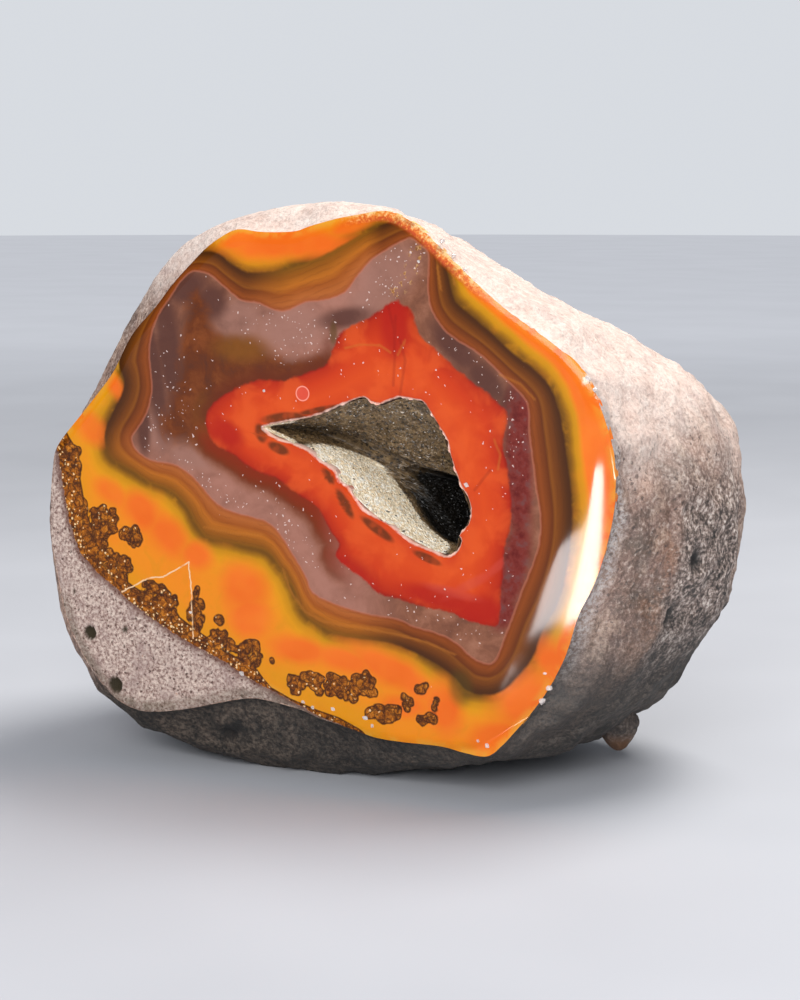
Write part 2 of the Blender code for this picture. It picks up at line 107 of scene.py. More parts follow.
POCKET_SECTIONS = (
    (0.0, (
        (-9.0, 45.6), (-5.1, 46.6), (-0.5, 47.8), (3.0, 49.3), (5.2, 49.9), (7.3, 49.2),
        (10.1, 50.1), (13.1, 49.6), (15.1, 46.8), (16.6, 43.3), (18.0, 39.7), (19.3, 36.7),
        (18.9, 35.2), (17.8, 33.4), (17.2, 31.5), (14.6, 31.6), (10.4, 33.3), (6.6, 35.4),
        (4.0, 37.4), (1.8, 39.6), (-0.9, 41.9), (-5.1, 43.9))),
    (5.0, (
        (-7.4, 45.2), (-4.4, 46.0), (-0.4, 46.7), (3.0, 47.2), (5.2, 47.2), (7.4, 46.9),
        (10.1, 46.9), (13.0, 46.3), (15.4, 44.8), (17.1, 42.4), (18.6, 39.6), (19.7, 36.7),
        (19.3, 34.7), (18.1, 32.9), (16.4, 31.2), (13.8, 31.2), (9.9, 33.2), (6.4, 35.7),
        (3.8, 37.7), (1.4, 39.8), (-1.4, 41.9), (-4.8, 43.7))),
    (10.0, (
        (-4.0, 43.8), (-2.4, 44.4), (0.6, 44.4), (3.2, 43.7), (5.2, 43.0), (7.6, 42.4),
        (10.2, 42.0), (12.4, 41.7), (14.8, 41.2), (17.0, 40.0), (18.7, 38.2), (19.4, 36.2),
        (19.0, 34.0), (17.6, 31.6), (15.4, 29.8), (12.8, 30.2), (9.9, 32.6), (7.0, 35.6),
        (4.4, 37.6), (2.4, 38.9), (0.0, 40.7), (-2.6, 42.5))),
    (12.5, (
        (4.6, 39.9), (6.2, 40.6), (8.0, 40.6), (9.6, 40.5), (11.2, 40.3), (12.8, 40.0),
        (14.2, 39.5), (15.6, 38.8), (16.8, 37.9), (17.7, 36.9), (18.2, 35.8), (18.2, 34.8),
        (17.8, 33.4), (17.0, 31.8), (15.8, 30.7), (14.4, 30.4), (12.8, 31.1), (11.2, 32.8),
        (9.6, 34.7), (8.0, 36.4), (6.4, 37.8), (5.0, 39.0))),
)
POCKET_END_DEPTH, POCKET_END_SCALE, POCKET_END_ROUND = 18.5, 0.25, 1.6
POCKET_MIDDLE = (14.2, 36.4)
# Where the hollow is painted black as shade, deep in its dark pocket: place round its outline, and the
# depth there
BLACK_SHADE_FROM = ((0.0, 14.0), (7.0, 13.4), (8.5, 7.0), (10.0, 1.4), (14.0, 1.4), (15.0, 4.0), (16.0, 6.6),
              (17.0, 8.4), (18.0, 9.8), (20.0, 11.0), (22.0, 14.0))

# The hole in the chipped band, painted black as shade: x, z, half width, half height
CHIP_HOLE = (-14.7, 6.0, 1.8, 1.0)

# How finely the pieces are made
PLATE_MIDDLE = (7.0, 42.0)
PLATE_COLUMNS, PLATE_RINGS, PLATE_THICKNESS = 680, 138, 1.0
STONE_COLUMNS, STONE_FINE_RINGS, STONE_BACK_RINGS = 560, 92, 46
STONE_FINE_DEPTH = 32.0
WALL_STEPS, WALL_RINGS = 12, 14
DRUSE_STEPS, DRUSE_RINGS, DRUSE_BACK_RINGS = 20, 116, 12
FACE_ACROSS, FACE_UP = (-42.0, 39.0), (5.0, 74.0)

# The agate's bands: x, z round each line on the face
ROCK_EDGE = (
    (-46.0, 45.0), (-40.2, 42.2), (-39.3, 40.9), (-38.6, 36.6), (-37.9, 32.5), (-36.3, 28.2),
    (-34.1, 25.8), (-30.6, 23.5), (-28.4, 21.8), (-24.5, 19.6), (-20.8, 17.7), (-17.0, 16.2),
    (-13.4, 14.6), (-9.6, 12.8), (-6.7, 11.7), (-4.2, 10.7), (-1.4, 9.5), (1.2, 8.9),
    (4.4, 7.5), (6.0, 2.0), (-48.0, 0.0),
)
BROWN_OUTER = (
    (-16.8, 67.4), (-14.9, 67.1), (-13.2, 65.9), (-11.0, 64.9), (-8.4, 64.9), (-5.6, 65.3),
    (-2.9, 66.1), (0.0, 67.3), (3.2, 68.9), (5.9, 70.2), (8.3, 71.2), (10.7, 71.7),
    (13.2, 70.4), (15.0, 69.0), (15.8, 67.3), (16.3, 65.2), (17.2, 62.1), (19.2, 60.4),
    (22.2, 58.1), (25.1, 55.7), (27.7, 54.0), (29.6, 52.0), (30.6, 49.6), (31.3, 46.6),
    (31.8, 43.1), (32.3, 39.4), (32.3, 35.9), (31.8, 32.3), (31.1, 28.7), (30.0, 25.5),
    (28.3, 22.5), (27.1, 19.3), (25.4, 17.0), (23.7, 15.2), (21.8, 14.4), (19.0, 14.7),
    (17.4, 16.2), (15.0, 17.6), (11.8, 18.9), (8.2, 19.8), (4.8, 19.9), (1.2, 20.2),
    (-1.6, 21.3), (-3.4, 22.5), (-4.5, 25.0), (-5.9, 27.4), (-6.6, 28.0), (-8.4, 29.9),
    (-11.0, 30.4), (-14.6, 30.8), (-17.2, 31.2), (-18.7, 32.8), (-20.1, 35.0), (-22.4, 36.8),
    (-25.4, 37.7), (-28.0, 39.1), (-31.0, 40.4), (-31.9, 41.9), (-32.0, 44.0), (-30.9, 46.4),
    (-29.4, 49.0), (-29.0, 50.9), (-29.9, 53.0), (-29.2, 55.3), (-27.2, 58.3), (-25.0, 61.1),
    (-22.6, 64.0), (-19.6, 66.8),
)
PINK_LINE = (
    (-18.7, 64.9), (-20.6, 63.5), (-22.3, 61.2), (-23.8, 59.3), (-24.8, 57.0), (-25.2, 54.4),
    (-25.0, 51.7), (-24.9, 49.6), (-25.7, 46.8), (-27.0, 44.8), (-28.0, 43.5), (-27.4, 41.9),
    (-25.3, 40.7), (-21.9, 40.3), (-19.7, 39.3), (-17.6, 37.5), (-16.0, 35.9), (-13.8, 34.8),
    (-10.5, 34.2), (-8.4, 33.7), (-6.6, 32.3), (-4.8, 29.8), (-3.1, 27.4), (-2.0, 25.2),
    (1.2, 24.0), (4.8, 23.2), (8.2, 22.9), (10.1, 22.7), (11.9, 22.0), (15.0, 21.5),
    (17.7, 20.4), (19.6, 18.9), (21.8, 18.2), (22.9, 19.2), (23.7, 21.3), (24.7, 23.8),
    (26.0, 27.3), (27.3, 30.5), (28.3, 33.6), (28.4, 36.8), (27.9, 39.7), (27.4, 43.4),
    (26.9, 46.7), (26.8, 49.5), (26.1, 50.9), (24.1, 52.7), (22.2, 54.4), (20.3, 55.9),
    (18.2, 57.0), (16.2, 58.2), (14.9, 59.7), (14.0, 61.4), (13.7, 63.6), (13.8, 65.7),
    (13.7, 67.8), (12.4, 68.8), (11.1, 69.4), (8.3, 68.0), (6.3, 66.8), (4.5, 65.0),
    (2.5, 62.7), (-0.4, 61.7), (-2.9, 61.4), (-5.0, 60.4), (-7.1, 60.3), (-9.2, 61.1),
    (-11.7, 61.4), (-13.5, 62.5), (-14.9, 63.6), (-16.4, 64.6),
)
RED_EDGE = (
    (-17.0, 46.8), (-15.8, 48.5), (-13.0, 50.3), (-9.2, 51.6), (-5.7, 51.7), (-2.1, 52.9),
    (0.2, 54.0), (1.2, 56.5), (2.5, 58.1), (5.8, 59.7), (9.3, 61.9), (10.1, 61.4),
    (11.5, 60.8), (12.5, 58.0), (14.5, 56.3), (17.5, 53.9), (20.3, 51.9), (23.5, 49.6),
    (24.0, 48.0), (23.5, 45.0), (24.2, 41.9), (24.6, 39.0), (24.6, 35.8), (23.9, 32.7),
    (23.6, 29.3), (23.3, 26.2), (23.0, 23.3), (21.7, 22.9), (19.0, 23.4), (16.3, 24.3),
    (13.5, 24.5), (10.1, 25.3), (7.0, 25.9), (4.8, 27.6), (2.5, 28.9), (1.2, 30.1),
    (1.7, 31.6), (0.6, 33.0), (-1.2, 35.8), (-4.0, 37.5), (-7.2, 39.4), (-10.5, 40.3),
    (-13.0, 41.9), (-15.9, 43.3), (-17.0, 45.3),
)
HOLLOW_EDGE = (
    (-9.0, 45.7), (-7.3, 46.1), (-5.1, 46.6), (-2.6, 47.1), (-0.5, 47.8), (2.1, 48.9),
    (3.8, 49.6), (5.0, 49.9), (6.1, 49.4), (7.3, 49.2), (8.8, 49.8), (10.1, 50.1),
    (12.0, 49.9), (13.1, 49.6), (14.1, 48.2), (15.1, 46.8), (16.2, 45.1), (16.6, 43.3),
    (17.3, 41.4), (18.0, 39.7), (18.9, 38.4), (19.3, 36.7), (18.9, 35.2), (17.7, 33.8),
    (18.1, 33.1), (17.2, 31.5), (15.8, 31.1), (14.6, 31.6), (12.0, 32.3), (10.4, 33.3),
    (8.8, 34.4), (6.6, 35.4), (5.0, 36.2), (4.0, 37.4), (3.3, 38.4), (1.8, 39.6),
    (0.9, 40.9), (-0.9, 41.9), (-2.6, 43.1), (-5.1, 43.9), (-7.1, 44.4), (-8.3, 45.1),
)

# Soft patches of colour on the face: x, z, half width, half height, turn in degrees
ORANGE = (
    (-4.6, 68.5, 8.9, 1.9, 3), (-11.9, 68.9, 3.0, 1.0, 15), (3.3, 70.7, 3.2, 1.0, 18),
    (-34.0, 44.3, 1.8, 2.6, 40), (-30.8, 50.5, 1.1, 2.7, 40), (-31.1, 36.2, 2.7, 1.5, -30),
    (-26.9, 34.1, 3.2, 2.0, -38), (-22.5, 31.1, 3.2, 2.2, -38), (-18.7, 28.9, 2.4, 1.7, -20),
    (-11.8, 25.1, 3.2, 3.2, 20), (-11.0, 21.6, 2.7, 2.6, 20), (-3.9, 17.7, 4.1, 1.5, -5),
    (2.4, 17.0, 4.6, 1.5, -8), (8.9, 16.1, 7.0, 1.9, -22),
    (15.9, 12.5, 2.2, 3.5, 14), (26.5, 14.0, 4.6, 3.7, 50), (29.5, 18.2, 1.9, 4.0, 20),
    (22.1, 9.2, 3.2, 1.7, 20), (10.5, 12.0, 3.0, 1.5, 0),
)
AMBER_EDGE = (
    (-18.3, 62.8), (-16.7, 61.3), (-15.4, 57.6), (-10.8, 56.7), (-6.8, 54.8), (-3.3, 54.7),
    (0.1, 55.6), (1.9, 54.2), (-3.6, 49.9), (-13.3, 46.3), (-13.8, 43.1), (-12.2, 40.1),
    (-14.4, 40.2), (-18.7, 42.8), (-22.9, 43.4), (-23.8, 45.9), (-21.9, 49.5), (-21.0, 54.9),
    (-20.0, 60.5),
)
OLIVE_CLOUD = ((-12.0, 55.4, 3.6, 1.6, 0), (-17.0, 46.0, 1.6, 3.0, 0))
DARK_QUARTZ = (
    (-24.6, 52.0, 1.6, 8.5, 10), (-26.2, 45.0, 1.0, 4.0, 0), (-16.5, 46.8, 1.6, 3.0, 10),
    (-22.4, 55.5, 1.8, 8.7, 6), (-19.7, 62.8, 3.0, 2.0, 20), (-16.0, 61.1, 2.2, 2.2, 0),
    (17.3, 56.4, 4.1, 1.6, -42), (21.4, 52.5, 3.5, 1.6, -42), (24.7, 50.2, 1.8, 2.0, 0),
    (2.6, 59.6, 3.5, 1.2, 10),
)
LILAC = (
    (8.4, 64.9, 4.6, 2.7, 40), (6.3, 61.9, 3.2, 1.7, 10), (-12.0, 58.9, 3.5, 2.7, 0),
    (-5.0, 58.2, 5.4, 2.5, 5), (-23.8, 44.6, 1.9, 3.0, 0), (-19.4, 41.2, 3.2, 1.2, -14),
)
PLUM = (
    (25.6, 42.1, 1.8, 9.9, 2), (25.1, 30.6, 1.8, 6.2, -12), (23.5, 25.0, 1.8, 2.5, -10),
    (26.2, 48.7, 1.2, 2.5, 0),
)
DEEP_RED = (
    (20.7, 24.8, 3.2, 1.7, 10), (3.2, 27.8, 4.1, 2.0, -30), (9.3, 58.9, 1.9, 4.0, 0),
    (15.4, 25.9, 4.9, 1.2, -10), (-14.3, 44.8, 2.7, 1.5, -30),
)
FROST = (
    (-22.0, 48.5, 2.7, 6.2, 8), (-24.4, 44.3, 2.7, 3.2, 0), (-2.5, 56.1, 5.4, 1.7, 12),
    (-5.0, 58.5, 8.1, 2.5, 0), (21.8, 54.2, 8.1, 2.2, -42), (25.2, 46.9, 1.9, 7.4, 0),
    (10.0, 65.6, 5.9, 3.2, 45), (15.4, 22.9, 8.1, 1.7, -15), (-6.3, 33.9, 8.1, 1.5, -50),
    (-17.3, 38.5, 8.1, 1.5, -28),
)
BLOTCHES = (
    (-5.8, 46.9, 3.1, 0.75, 6), (-0.7, 48.2, 3.2, 0.4, 12), (-9.2, 44.9, 0.75, 1.2, 20),
    (-6.7, 43.1, 1.5, 0.65, -20), (2.5, 36.7, 2.0, 0.6, -57), (0.2, 40.0, 1.2, 0.5, -50),
    (6.9, 33.8, 2.5, 0.6, -32), (13.6, 30.7, 1.9, 0.5, -20),
)
WHITE_CHIPS = (
    (16.2, 69.5, 0.9, 0.6, -30), (17.3, 68.1, 0.7, 1.0, 20), (18.7, 65.9, 0.5, 1.2, 30),
    (20.2, 65.0, 1.1, 0.4, -40), (23.0, 62.7, 1.9, 0.4, -38), (26.6, 60.2, 1.9, 0.4, -34),
    (34.2, 53.7, 0.7, 1.1, -30), (35.4, 51.8, 0.4, 0.9, -20),
)
PINK_ARCS = ((19.3, 27.8, 3.5, 0.6, 30), (17.0, 26.7, 3.5, 0.6, -10), (23.2, 30.5, 2.7, 0.5, 40))
GREEN_SPOTS = ((1.0, 57.7, 0.5, 1.4, 0), (18.2, 15.0, 1.5, 2.2, 0))
# Marks made of soft patches, each with the softness of its edges
SOFT_PATCHES = {
    "olive": (OLIVE_CLOUD, 1.3), "shade": (DARK_QUARTZ, 1.0), "lilac": (LILAC, 1.0),
    "plum": (PLUM, 0.9), "deep": (DEEP_RED, 0.9), "blotch": (BLOTCHES, 0.5),
    "chips": (WHITE_CHIPS, 0.8), "green": (GREEN_SPOTS, 0.9), "arcs": (PINK_ARCS, 1.0),
}

# Moss and thin things drawn on the face
MOSS_AREAS = (
    (-37.1, 39.4, 1.4, 3.0, 0), (-36.2, 33.0, 1.4, 2.1, 0), (-32.4, 32.3, 2.4, 2.2, 0),
    (-28.4, 30.6, 1.5, 1.5, 0), (-33.7, 28.4, 2.7, 1.9, -40), (-30.4, 26.0, 2.2, 2.1, -40),
    (-24.5, 22.0, 3.8, 2.5, -25), (-18.8, 21.9, 1.2, 3.0, 0), (-15.1, 17.8, 2.4, 1.6, -30),
    (-11.0, 16.6, 1.6, 2.2, 0), (-4.3, 13.6, 1.5, 1.6, 0), (0.5, 13.5, 4.3, 1.5, -8),
    (5.2, 14.2, 1.8, 1.4, -20), (7.1, 10.7, 2.7, 1.0, 0), (12.9, 14.4, 1.8, 0.5, -8),
    (11.0, 12.8, 0.6, 1.3, 0), (13.2, 10.7, 1.9, 0.6, 10), (14.9, 12.4, 0.5, 0.9, 0),
)
MOSS_RINGS = ((-15.5, 20.6, 0.75), (-7.9, 16.0, 0.45), (9.3, 11.1, 1.0))
# How far the moss reaches in from the rock: x, and the reach there
MOSS_REACH = ((-40.0, 1.2), (-38.0, 2.6), (-34.0, 3.0), (-30.0, 1.6), (-25.0, 2.6), (-20.0, 2.2),
              (-15.0, 1.4), (-10.0, 1.5), (-8.0, 0.3), (-5.0, 0.2), (-1.0, 0.7), (4.0, 0.8),
              (8.0, 0.2))
VEIN = ((-29.8, 23.2), (-25.6, 25.4), (-23.6, 25.6), (-19.8, 27.8), (-19.5, 24.2), (-19.3, 18.0))
GOLD_LINES = (
    ((-17.4, 32.5), (-13.4, 32.0), (-9.1, 32.0)),
    ((-6.2, 27.8), (-5.1, 25.1), (-3.1, 22.7), (-0.7, 21.7), (1.8, 21.4), (5.9, 21.2),
     (10.0, 20.8), (13.8, 20.2), (17.4, 19.0)),
    ((23.1, 53.4), (25.7, 52.4), (27.6, 50.6)),
    ((2.6, 55.9), (4.6, 56.4), (7.3, 56.4), (8.7, 55.6)),
    ((10.7, 57.1), (9.7, 55.3)),
    ((22.4, 45.6), (23.2, 43.8), (22.9, 42.0)),
    ((14.9, 66.2), (15.4, 63.3)),
    ((16.4, 67.4), (17.2, 63.9)),
)
CRYSTAL_LINE = ((12.5, 68.7), (12.1, 67.3), (11.6, 65.8), (10.5, 64.1), (9.5, 62.9))
TEARS = (
    ((9.4, 60.0), (9.3, 57.5), (9.2, 55.5)),
    ((8.4, 61.3), (9.2, 58.3), (9.3, 55.3), (9.1, 51.6)),
    ((10.0, 57.1), (10.7, 54.7), (10.0, 50.5)),
    ((21.9, 41.9), (19.9, 39.4)),
)
# Marks made of lines, each with its width
THIN_LINES = {"gold": (GOLD_LINES, 0.14), "tear": (TEARS, 0.18), "grit": ((CRYSTAL_LINE,), 0.8)}
PINK_BUBBLE = (-3.3, 50.1, 0.95)
# Clear chips of quartz that catch the light: x, z on the face and size
GLINTS = (
    (-12.2, 14.0, 0.5), (-3.5, 11.1, 0.35), (-2.1, 10.5, 0.35), (0.7, 10.6, 0.4), (5.2, 9.9, 0.45),
    (6.2, 9.0, 0.4), (21.4, 7.9, 0.5), (28.6, 15.4, 0.55), (27.7, 13.8, 0.55), (28.3, 17.3, 0.3),
    (15.3, 69.1, 0.4), (16.8, 67.3, 0.35), (18.3, 65.7, 0.3), (18.8, 39.9, 0.45),
    (-8.7, 50.2, 0.3), (34.0, 53.3, 0.5), (34.9, 52.0, 0.35), (12.4, 66.6, 0.3),
    (-19.6, 21.3, 0.35), (20.3, 8.5, 0.35),
)


def ease(value):
    """0 to 1 with a soft start and a soft end."""
    value = np.clip(value, 0.0, 1.0)
    return value * value * (3.0 - 2.0 * value)


def rise(value, start, width):
    """0 up to the start, and 1 from one width beyond it."""
    return ease((value - start) / width)


def fall(value, end, width):
    """1 up to one width before the end, and 0 from the end on."""
    return ease((end - value) / width)


def through(before, start, end, after, t):
    """A smooth step from start to end that also minds its two neighbours."""
    return start + 0.5 * t * (end - before
                              + t * (2.0 * before - 5.0 * start + 4.0 * end - after
                                     + t * (3.0 * (start - end) + after - before)))


def smooth_loop(points, steps):
    """A closed smooth curve through the points, with steps points along each side."""
    start = np.array(points, float)
    before, end, after = (np.roll(start, turn, 0) for turn in (1, -1, -2))
    rows = [through(before, start, end, after, step / steps) for step in range(steps)]
    return np.stack(rows, 1).reshape(-1, 2)


def reach_of(curve, middle):
    """Angle in degrees and distance of a curve's points from a middle, in order of angle."""
    away = curve - np.array(middle)
    angles = np.degrees(np.arctan2(away[:, 1], away[:, 0])) % 360.0
    order = np.argsort(angles)
    return angles[order], np.hypot(away[:, 0], away[:, 1])[order]


def roughly(points, size, shift=(0.0, 0.0, 0.0)):
    """Smooth noise from -1 to 1 at many points."""
    moved = np.asarray(points) / size + np.array(shift)
    return np.array([noise.noise(Vector(point)) for point in moved])


def signed(angle):
    """The same direction as an angle from -180 to 180."""
    return (angle + 180.0) % 360.0 - 180.0


FACE_REACH = reach_of(smooth_loop(FACE_OUTLINE, 6), CENTRE)


def face_radius(angle):
    return np.interp(angle, *FACE_REACH, period=360.0)


def broad_share(angle):
    """1 along the lower right, where the polish rolls broadly over the rim, and 0 elsewhere."""
    angle = signed(angle)
    start = rise(angle, BROAD_FROM, BROAD_FULL_FROM - BROAD_FROM)
    return start * fall(angle, BROAD_TO, BROAD_TO - BROAD_FULL_TO)


def rim_drop(angle):
    return ROLL_DROP + BROAD_DROP * broad_share(angle)


def rim_width(angle):
    return ROLL_WIDTH + BROAD_WIDTH * broad_share(angle)


def calm_radius(angle):
    """The face's radius with its waviness evened out where the rim rolls broadly."""
    side = signed(angle)
    share = rise(side, -64.0, 30.0) * fall(side, 32.0, 30.0)
    steps = np.linspace(-2.0, 2.0, 17)
    weights = np.exp(-0.5 * steps ** 2)
    nearby = [face_radius(angle + step * CALM_WIDTH) for step in steps]
    calm = sum(weight * radius for weight, radius in zip(weights, nearby)) / weights.sum()
    return face_radius(angle) + (calm - face_radius(angle)) * share


def face_depth(x, z):
    """How far behind the saw plane the polished face lies at a point, because its rim rolls over."""
    angle = np.degrees(np.arctan2(z - CENTRE[1], x - CENTRE[0]))
    inwards = calm_radius(angle) - np.hypot(x - CENTRE[0], z - CENTRE[1])
    return rim_drop(angle) * (1.0 - np.clip(inwards / rim_width(angle), -0.15, 1.0)) ** 2


# Making meshes

def wrapped(name, rings, marks, joined=False):
    """A closed mesh: a grid wrapped round the rings and welded, with its marks kept by point.

    Rings has the shape rings, points, 3. Where joined, the last ring meets the first one.
    """
    count, around = rings.shape[:2]
    rows = count + 1 if joined else count
    bm = bmesh.new()
    place = bm.verts.layers.int.new("place")
    grid = bmesh.ops.create_grid(bm, x_segments=around, y_segments=rows - 1, size=1.0)
    for index, vert in enumerate(grid["verts"]):
        row, column = index // (around + 1) % count, index % (around + 1) % around
        if index // (around + 1) == count:
            row = 0
        vert.co = rings[row, column] * MM
        vert[place] = row * around + column
    bmesh.ops.remove_doubles(bm, verts=bm.verts, dist=1e-8)
    if not joined:
        open_edges = [edge for edge in bm.edges if edge.is_boundary]
        bmesh.ops.holes_fill(bm, edges=open_edges, sides=0)
        ends = [face for face in bm.faces if len(face.verts) > 4]
        bmesh.ops.triangulate(bm, faces=ends)
    bmesh.ops.recalc_face_normals(bm, faces=bm.faces)
    mesh = bpy.data.meshes.new(name)
    bm.to_mesh(mesh)
    bm.free()
    where = np.empty(len(mesh.vertices), np.int32)
    mesh.attributes["place"].data.foreach_get("value", where)
    mesh.attributes.remove(mesh.attributes["place"])
    add_marks(mesh, {mark: values.reshape(-1)[where] for mark, values in marks.items()})
    return mesh


def add_marks(mesh, marks):
    """Values kept on the points of a mesh, which its material reads by name."""
    for mark, values in marks.items():
        layer = mesh.attributes.new(mark, 'FLOAT', 'POINT')
        layer.data.foreach_set("value", values.astype(np.float32))


def places_of(mesh):
    """The points of a mesh in millimetres."""
    places = np.empty(len(mesh.vertices) * 3, np.float32)
    mesh.vertices.foreach_get("co", places)
    return places.reshape(-1, 3) / MM


def shown(name, mesh, material):
    mesh.materials.append(material)
    piece = bpy.data.objects.new(name, mesh)
    bpy.context.collection.objects.link(piece)
    return piece


def flat_map(mesh, across, up):
    """A map of the surface for the baked look, laid flat from the front."""
    layer = mesh.uv_layers.new(name="OFBake")
    corners = np.empty(len(mesh.loops), np.int32)
    mesh.loops.foreach_get("vertex_index", corners)
    places = places_of(mesh)[corners]
    u = (places[:, 0] - across[0]) / (across[1] - across[0])
    v = (places[:, 2] - up[0]) / (up[1] - up[0])
    layer.data.foreach_set("uv", np.stack([u, v], 1).astype(np.float32).reshape(-1))


# Distances and patches on the face

def distance_to(path, x, z, closed=True):
    path = np.array(path, float)
    starts, ends = (path, np.roll(path, -1, 0)) if closed else (path[:-1], path[1:])
    nearest = np.full(x.shape, 1e9)
    for (ax, az), (bx, bz) in zip(starts, ends):
        dx, dz = bx - ax, bz - az
        along = np.clip(((x - ax) * dx + (z - az) * dz) / (dx * dx + dz * dz + 1e-12), 0.0, 1.0)
        nearest = np.minimum(nearest, (x - ax - along * dx) ** 2 + (z - az - along * dz) ** 2)
    return np.sqrt(nearest)


def is_inside(path, x, z):
    inside = np.zeros(x.shape, bool)
    for (ax, az), (bx, bz) in zip(path, np.roll(path, -1, 0)):
        if az != bz:
            crosses = (az > z) != (bz > z)
            inside ^= crosses & (x < (bx - ax) * (z - az) / (bz - az) + ax)
    return inside


def depth_inside(path, x, z):
    """Distance to a closed line, above 0 inside it and below 0 outside."""
    away = distance_to(path, x, z)
    return np.where(is_inside(np.array(path), x, z), away, -away)


def patches(spots, x, z, soft):
    """How strongly soft oval patches cover each point, 0 to 1."""
    cover = np.zeros(x.shape)
    for middle_x, middle_z, wide, high, turn in spots:
        c, s = math.cos(math.radians(turn)), math.sin(math.radians(turn))
        across = (x - middle_x) * c + (z - middle_z) * s
        up = (z - middle_z) * c - (x - middle_x) * s
        cover = np.maximum(cover, fall(np.hypot(across / wide, up / high), 1.0 + 0.5 * soft, soft))
    return cover


def strokes(paths, x, z, width):
    """How strongly thin drawn lines cover each point, 0 to 1."""
    cover = np.zeros(x.shape)
    for path in paths:
        cover = np.maximum(cover, ease(1.5 - distance_to(path, x, z, False) / width))
    return cover


def moss_depth(x, z, rock):
    """Distance to the edge of the moss, above 0 inside: a strip by the rock, and many lobes."""
    chance = np.random.default_rng(SEED)
    flat = np.stack([x.ravel(), 0.0 * x.ravel(), z.ravel()], 1)
    x = x + 0.3 * roughly(flat, 1.1).reshape(x.shape)
    z = z + 0.3 * roughly(flat, 1.1, (5.0, 0.0, 3.0)).reshape(z.shape)
    best = np.interp(x, *np.array(MOSS_REACH).T) - rock
    best = np.where(x < 9.0, np.minimum(best, 2.0), -9.0)
    for middle_x, middle_z, wide, high, turn in MOSS_AREAS:
        c, s = math.cos(math.radians(turn)), math.sin(math.radians(turn))
        for _ in range(int(7.0 * wide * high)):
            radius = chance.uniform(0.3, 0.75)
            out, way = math.sqrt(chance.uniform()), chance.uniform(0.0, 2.0 * math.pi)
            across = (wide + 0.1 - 0.5 * radius) * out * math.cos(way)
            up = (high + 0.1 - 0.5 * radius) * out * math.sin(way)
            lobe = np.hypot(x - middle_x - across * c + up * s, z - middle_z - across * s - up * c)
            best = np.maximum(best, radius - lobe)
    for rx, rz, radius in MOSS_RINGS:
        best = np.maximum(best, radius - np.hypot(x - rx, z - rz))
    return best


# Laying out materials

def paint(red, green, blue):
    """A colour as light values, from its usual 0 to 255 numbers."""
    values = [c / 255.0 for c in (red, green, blue)]
    lit = [c / 12.92 if c <= 0.04045 else ((c + 0.055) / 1.055) ** 2.4 for c in values]
    return (*lit, 1.0)


